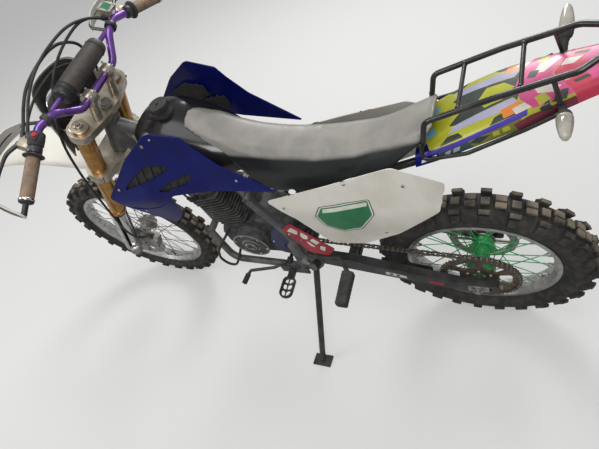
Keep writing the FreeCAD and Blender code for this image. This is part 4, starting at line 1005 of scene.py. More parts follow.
def makeSeat():
    rings = []
    for x, top, edge, w, low, lowWidth in easedRows(seatShape["rows"], seatShape["stations"]):
        high = edge - low
        half = [(0, low + 3), (lowWidth - 16, low + 2), (lowWidth - 3, low + 4), (lowWidth, low + 12),
                (lowWidth + (w - lowWidth) * 0.3 + 2, low + high * 0.35), (lowWidth + (w - lowWidth) * 0.7 + 4,
                low + high * 0.72), (w + 4, edge - 7), (w + 1, edge + 1), (w * 0.84, edge + (top - edge) * 0.45),
                (w * 0.6, edge + (top - edge) * 0.8), (w * 0.3, top - 0.8), (0, top)]
        rings.append(halfToRing(x, half))
    item = asObject("seatCushion", ringsMesh(rings), bikeSpace)
    puffed(item, seatShape["voxel"], seatShape["pressure"], seatShape["cap"],
           lambda p: p.z < seamHeight(p.x) - 62 or p.x > 735 or p.x < 84)
    smooth = item.modifiers.new("even", "SMOOTH")
    smooth.iterations = 4
    applied(item)
    subdivided(item)
    # height over the seam line, the mask of the painted pale sheen on the seat's top
    over = item.data.attributes.new("sheenMaskHeight", "FLOAT", "POINT")
    inverse = bikeSpace.inverted()
    for v in item.data.vertices:
        spot = inverse @ v.co
        over.data[v.index].value = spot.z - seamHeight(spot.x)
    item.data.materials.append(bandedFinish("seatCoverPaintedSheen", seatShape["sheenTopFinish"], "sheenMaskHeight", *seatShape["sheenBand"],
            seatShape["sideColor"], "SMOOTHSTEP"))
    settle(item, "chassis", "seat")


makeSeat()
print("seat made")


# Tank: one smooth saddle form with a rounded nose.
tankShape = {"rows": (    # x, top, low, half width
    (600, 946, 884, 56), (650, 982, 882, 82), (700, 1012, 882, 100), (800, 1059, 892, 117), (870, 1066, 906, 116),
    (925, 1053, 938, 88), (955, 1026, 985, 40)), "stations": 36}


def makeTank():
    rings = []
    for x, top, low, w in easedRows(tankShape["rows"], tankShape["stations"]):
        high = top - low
        half = [(0, low), (w * 0.8, low), (w * 0.96, low + high * 0.06), (w, low + high * 0.2), (w, low + high * 0.45),
                (w * 0.95, low + high * 0.66), (w * 0.82, low + high * 0.83), (w * 0.6, low + high * 0.95),
                (w * 0.3, top - 0.4), (0, top)]
        rings.append(halfToRing(x, half))
    item = asObject("tankShell", ringsMesh(rings), bikeSpace, "tankBlack", 80)
    subdivided(item)
    settle(item, "chassis", "fuel_tank")


makeTank()


# Shrouds with dark louvred liners behind their vents, and their bolts.
shroudShape = {
    "outline": ((496, 876, 4), (630, 994, 30), (672, 1060, 20), (690, 1100, 14), (781, 1124, 26), (900, 1046, 60),
        (1056, 905, 12), (1028, 838, 30), (952, 708, 14), (905, 742, 20), (856, 800, 30), (838, 894, 25),
        (700, 892, 60)),
    "levels": ((680, ((480, 132), (700, 140), (900, 150), (1080, 150))),
        (880, ((480, 132), (700, 150), (900, 190), (1080, 205))),
        (1140, ((480, 110), (700, 128), (900, 150), (1080, 160)))),
    "vents": (((978, 934, 4), (924, 977, 6), (879, 1003, 6), (846, 1020, 8), (790, 1014, 8), (790, 994, 6),
        (866, 965, 12)),
        ((866, 918, 4), (806, 951, 10), (733, 973, 4), (729, 962, 4), (756, 932, 8), (825, 914, 10))),
    "liners": (((990, 922, 4), (926, 992, 6), (848, 1036, 8), (776, 1028, 8), (776, 986, 6), (862, 952, 12)),
        ((884, 904, 4), (808, 966, 10), (720, 988, 4), (716, 956, 4), (750, 918, 8), (822, 900, 10))),
    "fold": ((1046, 893), (1016, 846), (965, 832), (910, 842), (858, 866)),
    "louvres": ((812, 1004), (846, 992), (880, 978), (914, 962), (760, 957), (790, 947), (820, 936)),
    "bolts": ((814, 1087, 5.5), (996, 938, 4.5), (776, 1106, 3.4), (980, 820, 4.5), (600, 930, 4.5))}


def boltShell(r=5.0, high=3.4):
    # a button head with its hexagon socket, its seat at zero
    profile = [(0, -0.6), (r, -0.6), (r, high * 0.25), (r * 0.93, high * 0.6), (r * 0.7, high * 0.92), (r * 0.5, high),
               (r * 0.47, high * 0.35), (0, high * 0.35)]
    return latheMesh(profile, 12, closed=False)


def makeShrouds():
    for side, label in ((1, "left"), (-1, "right")):
        skin = panelShell(shroudShape["outline"], shroudShape["vents"], shroudShape["levels"], 0, 3.2, side)
        panel = asObject(label + "Shroud", skin, bikeSpace, "bluePlastic", 42)
        settle(panel, "chassis", *(("shrouds",) if side == 1 else ()))
        liners = [panelShell(line, (), shroudShape["levels"], -9, 2, side) for line in shroudShape["liners"]]
        ribs = []
        for x, z in shroudShape["louvres"]:
            spots = [(x + t * 8, side * (sheetHeight(shroudShape["levels"], x, z - t * 26) - 6.5), z - t * 26)
                     for t in (-1, -0.5, 0, 0.5, 1)]
            ribs.append(tubeMesh(spots, 2.4, 8))
        addPiece(label + "ShroudLiner", joined(liners + ribs), bikeSpace, "blackRubber", "chassis")
        ridge = smoothLine([(x, side * (sheetHeight(shroudShape["levels"], x, z) - 0.4), z) for x,
                z in shroudShape["fold"]], 40)
        addPiece(label + "ShroudFold", tubeMesh(ridge, [0.8] + [2.3] * 38 + [0.8], 10), bikeSpace, "bluePlastic",
                 "chassis")
        places = []
        for x, z, r in shroudShape["bolts"]:
            out = sheetHeight(shroudShape["levels"], x, z)
            places.append(((x, side * (out + 0.4), z), (0, side, 0.1), 0, (r / 5, r / 5, 1)))
        bolts = copiesOf(label + "ShroudBolts", boltShell(), places, "bareSteel", bikeSpace)
        settle(bolts, "chassis")


makeShrouds()
print("tank and shrouds made")


# Side panels: pale moulded skins, each with a blank green shield in a pale border.
panelShape = {
    "outline": ((550, 833, 8), (174, 955, 30), (52, 906, 12), (70, 812, 20), (186, 704, 40), (300, 640, 20),
        (404, 634, 24), (480, 762, 30)),
    "levels": ((640, ((30, 132), (340, 146), (560, 146))), (800, ((30, 132), (340, 150), (560, 146))),
        (970, ((30, 106), (340, 108), (560, 108)))),
    "shield": ((390, 824, 8), (314, 842, 4), (242, 856, 8), (236, 800, 16), (284, 728, 16), (345, 708, 8),
        (396, 732, 12),
        (412, 784, 12)),
    "edges": ((0, "darkPrint"), (2.6, "palePrint"), (6.0, "greenPrint")),
    "band": ((380, 816, 3), (250, 846, 3), (252, 832, 3), (384, 800, 3)),
    "bolts": ((500, 812), (300, 905), (150, 900), (222, 712))}


def shrunk(points, by):
    middle = Vector((sum(p[0] for p in points), sum(p[1] for p in points))) / len(points)
    result = []
    for x, z, r in points:
        way = Vector((x, z)) - middle
        spot = middle + way * (1 - by * 1.25 / way.length)
        result.append((spot.x, spot.y, max(r - by * 0.5, 2)))
    return result


def makeSidePanels():
    shape = panelShape
    for side, label in ((1, "left"), (-1, "right")):
        names = ["whitePlastic"] + [finish for by, finish in shape["edges"]]
        patches = [(roundedOutline(shrunk(shape["shield"], by)), i + 1) for i,
                   (by, finish) in enumerate(shape["edges"])]
        patches.append((roundedOutline(shape["band"]), 2))
        skin = patchSheet(roundedOutline(shape["outline"]), patches,
                lambda x, z: (x, side * sheetHeight(shape["levels"], x, z), z), 3.0, 12,
                outward=(0, side, 0))
        settle(asObject(label + "SidePanel", skin, bikeSpace, names, 42), "chassis",
               *(("side_panels",) if side == 1 else ()))
        places = [((x, side * (sheetHeight(shape["levels"], x, z) + 0.3), z), (0, side, 0.15), 0, (0.9, 0.9, 0.9))
                  for x, z in shape["bolts"]]
        settle(copiesOf(label + "PanelBolts", boltShell(), places, "bareSteel", bikeSpace), "chassis")


makeSidePanels()
print("side panels made")


# Tail: a tapering fender with plain patches of colour, mirrored on its other side.
tailShape = {
    "rows": (    # x, crown height, half width, drop of its edges
        (119, 966, 88, 34), (60, 1003, 92, 38), (0, 1041, 93, 40), (-60, 1073, 88, 42), (-120, 1100, 79, 42),
        (-180, 1124, 66, 38), (-240, 1144, 54, 32), (-329, 1165, 48, 20)),
    "section": ((0, 0, 0), (0.25, 0.26, 0.01), (0.5, 0.52, 0.03), (0.72, 0.74, 0.09), (0.86, 0.87, 0.21),
        (0.94, 0.93, 0.36),
        (1.05, 0.965, 0.56), (1.3, 1.0, 1.0)),
    "across": 90, "thick": 2.6,
    "patches": (    # finish, then corners as x and share across, from 0 at the crown to 1.3 at the edge
        ("olivePrint", ((70, 1.3), (70, 0.94), (-100, 0.94), (-118, 1.3))),
        ("tealPrint", ((66, 1.3), (58, 1.0), (0, 0.98), (-14, 1.3))),
        ("bluePlastic", ((119, 0.62), (92, 0.62), (84, 0.84), (62, 0.98), (60, 1.3), (119, 1.3))),
        ("palePrint", ((104, 1.2), (102, 1.06), (88, 1.04), (90, 1.18))),
        ("palePrint", ((82, 1.2), (80, 1.05), (66, 1.03), (68, 1.17))),
        ("lilacPrint", ((50, 1.24), (46, 1.08), (34, 1.06), (36, 1.2))),
        ("lilacPrint", ((30, 1.22), (28, 1.06), (14, 1.06), (16, 1.2))),
        ("violetPrint", ((96, 0.86), (20, 0.9), (-70, 0.86), (-112, 0.82), (-112, 0.95), (-60, 1.0), (20, 1.03),
        (96, 0.98))),
        ("darkPrint", ((-4, 1.1), (-20, 1.0), (-46, 1.08), (-26, 1.24))),
        ("yellowPrint", ((-52, 1.2), (-50, 1.04), (-62, 1.04), (-64, 1.2))),
        ("yellowPrint", ((-70, 1.18), (-68, 1.03), (-80, 1.03), (-84, 1.18))),
        ("maroonPrint", ((-98, 1.3), (-88, 1.06), (-118, 0.98), (-190, 0.98), (-200, 1.3))),
        ("lilacPrint", ((44, 0.62), (30, 0.42), (-82, 0.34), (-94, 0.5), (-60, 0.62))),
        ("darkPrint", ((44, 0.38), (30, 0.2), (12, -0.1), (-14, -0.1), (-30, 0.3), (-64, 0.26), (-86, -0.1),
        (-98, -0.1),
        (-92, 0.46), (-84, 0.32), (30, 0.44))),
        ("darkPrint", ((60, 0.86), (44, 0.68), (20, 0.7), (8, 0.86))),
        ("darkPrint", ((-44, 0.86), (-52, 0.7), (-80, 0.62), (-92, 0.84))),
        ("orangePrint", ((-70, 0.82), (-62, 0.56), (-94, 0.5), (-110, 0.78))),
        ("whitePlastic", ((-92, 0.84), (-84, 0.66), (-108, 0.6), (-120, 0.8))),
        ("pinkPrint", ((-98, 0.5), (-86, 0.0), (-86, -0.1), (-150, -0.1), (-150, 0.0), (-190, 0.9), (-122, 0.86))),
        ("whitePlastic", ((-128, 0.5), (-118, 0.22), (-136, 0.16), (-166, 0.52), (-158, 0.66))),
        ("darkPrint", ((-150, 0.9), (-166, 0.66), (-178, 0.7), (-176, 0.95))),
        ("darkPrint", ((-112, 0.34), (-106, 0.12), (-122, 0.06), (-128, 0.28))),
        ("yellowPrint", ((-132, 0.86), (-122, 0.58), (-138, 0.54), (-150, 0.8))),
        ("rosePrint", ((-190, 0.95), (-152, 0.0), (-152, -0.1), (-329, -0.1), (-329, 1.3), (-196, 1.3))),
        ("pinkPrint", ((-214, 0.7), (-196, 0.16), (-212, 0.1), (-250, 0.74))),
        ("whitePlastic", ((-172, 0.42), (-164, 0.2), (-184, 0.14), (-200, 0.36))),
        ("darkPrint", ((-188, 0.62), (-184, 0.5), (-206, 0.44), (-212, 0.58))),
        ("skyPrint", tuple((86 + 13 * cos(k * pi / 6), 0.36 + 0.15 * sin(k * pi / 6)) for k in range(12))))}


def tailPoint(x, across):
    share = abs(across) / tailShape["across"]
    row = rowAt(tailShape["easedRows"], x)
    _, out, down = rowAt(tailShape["section"], min(share, 1.2999))
    return (x, math.copysign(row[2] * out, across), row[1] - row[3] * down)


def makeTail():
    tailShape["easedRows"] = easedRows(tailShape["rows"], 40)
    wide = tailShape["across"]
    names = ["yellowPrint"]
    patches = []
    for finish, corners in tailShape["patches"]:
        if finish not in names:
            names.append(finish)
        for side in (1, -1):
            patches.append(([(x, side * max(share, -0.001) * wide) for x, share in corners], names.index(finish)))
    edge = 1.2999 * wide
    outline = [(119, -edge), (119, edge), (-329, edge), (-329, -edge)]
    shell = patchSheet(outline, patches, tailPoint, tailShape["thick"], 9,
            inner=names.index("darkPrint"))
    return settle(asObject("tailSkin", shell, bikeSpace, names, 50), "chassis", "tail_fender")


makeTail()
print("tail made")


# Rack: rails, two cross bars and side loops, with welds where they meet.
rackShape = {
    "rail": ((101, 73, 972, 0), (86, 72, 1066, 26), (-60, 68, 1126, 200), (-190, 62, 1170, 34), (-229, 36, 1184, 22),
        (-229, -36, 1184, 22), (-190, -62, 1170, 34), (-60, -68, 1126, 200), (86, -72, 1066, 26),
        (101, -73, 972, 0)),
    "bars": ((16, 71, 1096), (-98, 66, 1139)), "railThick": 6.3, "barThick": 4.8,
    "side": ((100, 80, 1004, 0), (96, 95, 968, 14), (0, 99, 996, 60), (-110, 86, 1052, 60), (-172, 75, 1086, 20),
        (-150, 64, 1158, 0))}


def weldShell(r):
    profile = [(r * 0.9, -r * 0.5), (r * 1.28, -r * 0.34), (r * 1.36, 0), (r * 1.28, r * 0.34), (r * 0.9, r * 0.5)]
    return latheMesh(profile, 14)


def makeRack():
    shape = rackShape
    shells = [tubeMesh(bentLine(shape["rail"], 8), shape["railThick"], 16)]
    for x, y, z in shape["bars"]:
        shells.append(tubeMesh([(x, -y, z), (x, y, z)], shape["barThick"], 12))
        shells += [turned(weldShell(shape["barThick"]), lineSpace((x, s * (y - 7), z), (x, s * y, z))) for s in (1, -1)]
    shells.append(bothSides(tubeMesh(bentLine(shape["side"]), shape["barThick"], 12)))
    return addPiece("rackTubes", joined(shells), bikeSpace, "blackGloss", "chassis", "rack", sharp=50)


makeRack()


# Turn signals: a ribbed lens on a black shell, at the end of a rubber stalk.
signalShape = {"stalk": ((-168, 60, 1092), (-170, 84, 1100), (-172, 100, 1110)), "from": (-172, 98, 1110),
        "to": (-173, 179, 1128), "long": 82}


def makeSignals():
    shape = signalShape
    place = lineSpace(shape["from"], shape["to"])
    long = shape["long"]
    oval = Matrix.Diagonal((1.0, 0.86, 1.0, 1.0))
    body = latheMesh([(0, 0), (8, 1), (11.5, 5), (13.2, 11), (13.4, 18), (12.5, 19), (0, 19)], 28, closed=False)
    lens = [(0, 18), (14, 18), (14.6, 21)]
    for k in range(12):
        lens += [(14.6 - k * k * 0.045, 24 + k * 4.4), (13.9 - k * k * 0.045, 25.6 + k * 4.4)]
    lens += [(6, long - 2), (0, long)]
    glass = latheMesh(lens, 28, closed=False)
    stalk = tubeMesh(smoothLine(shape["stalk"], 10), [8, 7.4, 8, 6.6, 7.4, 6.4, 7.2, 6.4, 7.4, 8.5], 12)
    dark = asObject("signalShells", bothSides(joined([turned(body, place @ oval), stalk])), bikeSpace, "blackRubber")
    clear = asObject("signalLenses", bothSides(turned(glass, place @ oval)), bikeSpace, "clearLens")
    return settle(mergeItems("turnSignals", [dark, clear]), "chassis", "turn_signals")


makeSignals()
print("rack and turn signals made")


# Bar pad: a stuffed roll with a seam at each end and a black band on its left.
padShape = {"axis": (10.0, 986.0), "half": 106.0, "voxel": 0.005, "pressure": 4.0, "cap": 0.004,
            "cover": ((0.050, 0.042, 0.036), (0.036, 0.030, 0.026), 70, 0.45, 0.2), "bandColor": (0.014, 0.014, 0.015),
            "bandFrom": (0.83, 0.835),    # share of its length, from the right end
            "profile": ((0, 22), (0.012, 25), (0.04, 27.2), (0.09, 27.6), (0.10, 26.6), (0.115, 27.8), (0.3, 28.6),
        (0.5, 28.8),
        (0.7, 28.6), (0.885, 27.8), (0.90, 26.6), (0.91, 27.6), (0.96, 27.2), (0.988, 25), (1, 22))}


def makePad():
    shape = padShape
    x, z = shape["axis"]
    half = shape["half"]
    profile = [(0, -half)] + [(r, -half + share * 2 * half) for share, r in shape["profile"]] + [(0, half)]
    shell = latheMesh(profile, 48, closed=False)
    place = Matrix.Translation((x, 0, z)) @ Matrix.Rotation(-pi / 2, 4, "X") @ Matrix.Diagonal((1.0, 0.94, 1.0, 1.0))
    item = asObject("barPadCover", turned(shell, place), forkSpace)
    inverse = forkSpace.inverted()
    puffed(item, shape["voxel"], shape["pressure"], shape["cap"], lambda p: False)
    subdivided(item)
    along = item.data.attributes.new("alongPad", "FLOAT", "POINT")
    for v in item.data.vertices:
        spot = inverse @ v.co
        along.data[v.index].value = (spot.y + half) / (2 * half)
    item.data.materials.append(bandedFinish("padCover", shape["cover"], "alongPad", *shape["bandFrom"],
            shape["bandColor"]))
    settle(item, "front_end", "bar_pad")
    seams = []
    for y in (-half * 0.8, half * 0.665, half * 0.8):
        ring = [(x + 28.0 * cos(k * pi / 20), y, z + 26.6 * sin(k * pi / 20)) for k in range(40)]
        seams.append(tubeMesh(ring, 0.9, 6, loop=True))
    addPiece("barPadSeams", joined(seams), forkSpace, "blackRubber", "front_end")


makePad()
print("bar pad made")


# Front fender: a long smooth skin with a raised middle, on its four studs.
noseShape = {
    "rows": (    # x ahead of the axle, crown height over it, half width, drop of its edges
        (-378, 391, 52, 20), (-330, 459, 54, 22), (-250, 517, 58, 22), (-140, 568, 76, 27), (10, 598, 84, 31),
        (160, 592, 83, 29), (300, 552, 72, 23), (370, 522, 60, 18), (409, 497, 40, 10)),
    "section": ((0, 0, 0), (0.16, 0.17, 0.02), (0.24, 0.25, 0.12), (0.5, 0.52, 0.17), (0.75, 0.78, 0.27),
        (0.9, 0.92, 0.45),
        (1.05, 0.98, 0.72), (1.2, 1.0, 1.0)), "across": 84, "thick": 2.8, "studs": ((-20, 26), (12, 26))}


def nosePoint(x, across):
    row = rowAt(noseShape["easedRows"], x)
    _, out, down = rowAt(noseShape["section"], min(abs(across) / noseShape["across"], 1.1999))
    return (x, math.copysign(row[2] * out, across), row[1] - row[3] * down)


def makeNose():
    noseShape["easedRows"] = easedRows(noseShape["rows"], 48)
    edge = 1.1999 * noseShape["across"]
    outline = roundedOutline([(-377, -edge, 6), (-377, edge, 6), (408, edge, 60), (408, -edge, 60)], 8)
    skin = asObject("noseSkin", patchSheet(outline, [], nosePoint, noseShape["thick"], 15), axleSpace["front"],
            "whitePlastic", 60)
    bolts = [(fork, side * y, 540.0) for fork, y in noseShape["studs"] for side in (1, -1)]
    studs = joined([stood([(0, -8), (6.6, -8), (6.6, 70), (9, 71), (9, 78), (0, 78)], 14, spot) for spot in bolts])
    lugs = asObject("noseStuds", studs, forkSpace, "bareSteel")
    settle(mergeItems("frontFender", [skin, lugs]), "front_end", "front_fender")


makeNose()


# Headlamp mask: a pale curved shield, dark inside, open round the lamp.
maskShape = {"outline": ((-116, 648, 26), (-127, 800, 60), (-92, 873, 44), (92, 873, 44), (127, 800, 60),
        (116, 648, 26),
        (52, 636, 20), (-52, 636, 20)),
        "lampAt": 749.0, "lampHole": 66.5, "low": (-198, 92), "high": (-258, 92), "heights": (634, 875)}


def maskPoint(inset):
    def place(y, z):
        (lowX, lowBend), (highX, highBend) = maskShape["low"], maskShape["high"]
        low, high = maskShape["heights"]
        t = (z - low) / (high - low)
        bend = (min(abs(y), 128) / 128) ** 2.1
        return (lowX + (highX - lowX) * t - bend * lowBend - inset, y * (1 - inset * 0.004), z)
    return place


def makeMask():
    outline = roundedOutline(maskShape["outline"], 8)
    hole, lampAt = maskShape["lampHole"], maskShape["lampAt"]
    ring = [(hole * cos(k * pi / 24), lampAt + hole * 1.04 * sin(k * pi / 24)) for k in range(48)]
    skin = asObject("maskSkin", patchSheet(outline, [], maskPoint(0), 2.2, 13, [ring], outward=(1, 0, 0)),
            axleSpace["front"],
            "whitePlastic", 60)
    # a dark sheet set just behind the pale skin makes the mask's inner face dark
    inner = [(y * 0.965, 755 + (z - 755) * 0.965) for y, z in outline]
    wider = [(y * 1.06, lampAt + (z - lampAt) * 1.06) for y, z in ring]
    liner = asObject("maskLiner", patchSheet(inner, [], maskPoint(3.2), 1.0, 13, [wider], outward=(1, 0, 0)),
            axleSpace["front"], "darkLiner", 60)
    rim = [Vector(maskPoint(1.4)(y, z)) for y, z in denseLoop(outline, 8)]
    bead = asObject("maskRim", tubeMesh(rim, 2.4, 8, loop=True), axleSpace["front"], "whitePlastic", 60)
    settle(mergeItems("headlampMask", [skin, liner, bead]), "front_end", "headlamp_mask")


makeMask()


# Hand guards: curved shields with a stiff bar behind, clamped on the bar and screwed into its end.
guardShape = {"line": ((88, 192), (104, 234), (107, 285), (103, 335), (84, 384), (46, 417), (-4, 430), (-60, 434)),
        "low": 924.0, "high": 965.0, "bar": ((12, 178, 972), (50, 184, 958), (88, 196, 944), (103, 236, 944),
        (105, 290, 944), (99, 338, 944), (78, 386, 944), (40, 416, 944),
        (-10, 427, 943), (-48, 428, 938))}


def makeHandGuards():
    line = smoothLine(guardShape["line"], 60)
    low, high = guardShape["low"], guardShape["high"]

    def place(u, v):
        k = min(max(u, 0), len(line) - 1.001)
        a, b = line[int(k)], line[int(k) + 1]
        spot = a.lerp(b, k - int(k))
        lean = 4 * (1 - ((v - low) / (high - low)) ** 2)
        return (spot.x - lean, spot.y - lean * 0.4, v)
    shells = []
    scale = 7.0    # the sheet is drawn 7 mm to each step along the line
    outline = roundedOutline([(4, low + 6, 6), (60, low, 20), (340, low, 30), (409, low + 12, 12), (409, high - 8, 10),
            (330, high, 30), (60, high, 20), (4, high - 10, 8)])
    shield = patchSheet(outline, [], lambda u, v: place(u / scale, v), 2.6, 10, outward=(1, 0.6, 0))
    stay = tubeMesh(smoothLine(guardShape["bar"], 48), 4.8, 10)
    skin = asObject("guardSkins", bothSides(shield), forkSpace, "whitePlastic", 60)
    start, end = Vector((-38, 393, 945)), Vector((-52.4, 442.8, 934))
    plug = latheMesh([(0, -2), (11, -2), (11.5, 2), (9, 6), (7, 8), (7, 36), (0, 36)], 20, closed=False)
    ring = latheMesh([(11.2, -7), (16.5, -7), (17.2, -5.5), (17.2, 5.5), (16.5, 7), (11.2, 7)], 28)
    bend, root = Vector((2, 156, 986)), Vector((15, 210, 985.5))
    inner = (root - bend).normalized()
    metal = asObject("guardStays", bothSides(joined([stay, turned(plug, lineSpace(start, end)),
            turned(ring, lineSpace(bend + inner * 26, root))])), forkSpace, "blackMetal")
    settle(mergeItems("handGuards", [skin, metal]), "front_end", "hand_guards")


makeHandGuards()


# Grips: ribbed rubber with a dark flange, a bright end ring and a dark cap.
gripShape = {"root": (15, 210, 985.5), "end": (-38, 393, 945), "long": 120.0}


def makeGrips():
    root, end = Vector(gripShape["root"]), Vector(gripShape["end"])
    along = (end - root).normalized()
    start = end - along * gripShape["long"]
    place = lineSpace(start, end)
    ribs = [(11.3, 8), (15.6, 8)]
    for k in range(20):
        z = 10 + k * 5
        ribs += [(16.6, z), (16.9, z + 1.6), (16.6, z + 3.2), (15.7, z + 3.6), (15.7, z + 4.8)]
    ribs += [(16.6, 111), (16.8, 113), (11.3, 113)]
    flange = [(11.3, 0.2), (22, 0.2), (25, 1.2), (25.6, 2.6), (25, 4), (18, 5), (17.4, 8), (11.3, 8)]
    ring = [(11.3, 113), (17.6, 113), (18.4, 114.2), (18.4, 117.4), (17.6, 118.6), (11.3, 118.6)]
    cap = [(0, 118.4), (17.4, 118.4), (17.8, 120), (17, 123), (14, 124.8), (0, 125)]
    items = []
    for profile, closed, finish in ((ribs, True, "brownRubber"), (flange, True, "blackRubber"),
            (ring, True, "chromeTube"),
            (cap, False, "blackRubber")):
        items.append(asObject("gripBit", bothSides(turned(latheMesh(profile, 36, closed=closed), place)), forkSpace,
                finish))
    settle(mergeItems("barGrips", items), "front_end", "grips")


makeGrips()
print("front fender, mask, guards and grips made")


# Controls: perches with their levers, a switch with a red button, and the brake's reservoir.
controlShape = {"ring": (0.6, 259.6, 974.5), "blade": ((38, 258, 975), (50, 282, 972), (57, 306, 967), (52, 350, 957),
        (43, 386, 947), (40, 394, 944)),
        "radii": (6.0, 5.6, 5.0, 4.6, 4.4, 4.4), "ball": (39.6, 396, 943.4)}


def makeControls():
    root, end = Vector(gripShape["root"]), Vector(gripShape["end"])
    along = (end - root).normalized()
    ringAt = Vector(controlShape["ring"])
    place = lineSpace(ringAt, ringAt + along)
    band = latheMesh([(11.2, 0), (17, 0), (18, 1.5), (18, 14.5), (17, 16), (11.2, 16)], 28)
    perch = blockMesh([(8, 968), (20, 961), (44, 964), (48, 972), (44, 983), (20, 985), (8, 982)], 247, 274, 3.0)
    knuckle = latheMesh([(0, -9), (7, -9), (8.5, -7.5), (8.5, 7.5), (7, 9), (0, 9)], 18, closed=False)
    joint = turned(knuckle, Matrix.Translation((38, 266, 974)))
    path = smoothLine(controlShape["blade"], 26)
    radii = [row[1] for row in easedRows([(i, r) for i, r in enumerate(controlShape["radii"])], 26)]
    blade = tubeMesh(path, radii, 12)
    ball = stood([(7.0 * sin(k * pi / 10), 7.0 * cos(k * pi / 10)) for k in range(11)], 16, controlShape["ball"])
    adjuster = spun([(0, 0), (5, 0), (6.5, 2), (6.5, 9), (4.5, 11), (4.5, 20), (0, 20)], 12, (36, 249, 975),
            (46, 226, 978))
    dark = asObject("perchesDark", bothSides(joined([turned(band, place), joint, blade, ball])),
            forkSpace, "blackMetal")
    pale = asObject("perchesPale", bothSides(joined([perch, adjuster])), forkSpace, "champagneAnodise")
    # the switch on the left: two halves round the bar, a red button and a slider
    housing = latheMesh([(11.2, -38), (17, -38), (19.5, -35), (20, -20), (19.5, -5), (17, -2), (11.2, -2)], 24)
    box = blockMesh([(-8, 980), (18, 978), (20, 990), (14, 997), (-4, 999)], 226, 254, 3.0)
    switch = asObject("switchBox", joined([turned(housing, place), box]), forkSpace, "darkLiner")
    button = asObject("switchButton", stood([(0, 0), (6.5, 0), (6.5, 5), (5.4, 6.4), (0, 6.6)], 18, (4, 240, 997)),
            forkSpace, "redPlastic")
    slider = asObject("switchSlider", blockMesh([(10, 988), (20, 986), (22, 992), (12, 995)], 228, 236, 1.2), forkSpace,
            "palePrint")
    # the brake's cylinder and square reservoir on the right
    body = blockMesh([(18, 966), (54, 966), (57, 974), (54, 985), (20, 985)], -258, -209, 3.0)
    pot = blockMesh([(19, 985), (57, 985), (58, 1006), (18, 1006)], -245, -206, 4.0)
    rim = blockMesh([(17, 1006), (58.4, 1006), (58.4, 1012.3), (17, 1012.3)], -245.5, -205.7, 2.0)
    sight = spun([(0, 0), (7, 0), (7, 2), (5.6, 2), (5.2, 1), (0, 1)], 18, (19, -226, 996), (12, -226, 996))
    reservoir = asObject("brakeReservoir", joined([body, pot]), forkSpace, "champagneAnodise")
    label = blockMesh([(25, 1012), (50, 1012), (50, 1012.8), (25, 1012.8)], -238, -213, 0.3, 1)
    lid = mergeItems("reservoirTop", [asObject("reservoirLid", rim, forkSpace, "castAlloy"),
            asObject("lidLabel", label, forkSpace, "greenPrint")])
    screws = [((x, y, 1012.0), (0, 0, 1), 0, (0.62, 0.62, 0.6)) for x in (23, 52) for y in (-241, -210)]
    heads = copiesOf("lidScrews", boltShell(), screws, "bareSteel", forkSpace)
    glass = asObject("sightGlass", sight, forkSpace, "lampGlass")
    settle(mergeItems("controls", [dark, pale, switch, button, slider, reservoir, lid, heads, glass]), "front_end",
           "levers")


makeControls()


# Cables and hoses along the bar, smooth and held as the frame has them.
cableShape = (
    (4.0, ((40, -212, 978), (52, -180, 1002), (60, -130, 1026), (62, -70, 1030), (62, 0, 1014), (60, 60, 975),
           (54, 110, 900),
           (46, 140, 800), (30, 150, 660), (10, 150, 520), (-16, 150, 380), (-36, 146, 280), (-56, 130, 210),
           (-72, 104, 166), (-79, 84, 140), (-78, 73, 98))),
    (4.5, ((40, 248, 976), (52, 216, 986), (72, 170, 998), (88, 120, 1008), (92, 60, 1018), (90, 0, 1022),
           (82, -50, 1010),
           (68, -96, 970), (50, -110, 900), (36, -98, 830), (30, -82, 794))),
    (4.0, ((24, 248, 977), (38, 206, 1004), (58, 150, 1024), (72, 80, 1040), (76, 0, 1046), (70, -80, 1044),
           (54, -150, 1022),
           (32, -206, 984))),
    (3.6, ((30, 246, 972), (50, 204, 980), (66, 150, 984), (74, 90, 986), (74, 20, 980), (62, -40, 950), (44, -60, 890),
           (34, -56, 830), (30, -50, 794))))


def makeCables():
    shells = [tubeMesh(smoothLine(line, 90), r, 10) for r, line in cableShape]
    ends = []
    for r, line in cableShape:
        for a, b in ((line[0], line[1]), (line[-1], line[-2])):
            ends.append(spun([(0, 0), (r + 1.6, 0), (r + 2, 2), (r + 2, 14), (r + 0.8, 20), (0, 20)], 12, a, b))
    tubes = asObject("cableTubes", joined(shells), forkSpace, "blackRubber", 60)
    caps = asObject("cableEnds", joined(ends), forkSpace, "blackMetal")
    settle(mergeItems("cables", [tubes, caps]), "front_end", "brake_hose")


makeCables()
print("controls and cables made")


# Fork: caps with adjusters, collars and seals on the tubes, pinch bolts in the clamps.
forkShape = {"half": 103.0, "outer": 27.0, "top": 867.0, "low": 361.0, "lowerClamp": 636.0, "topClamp": 846.0}


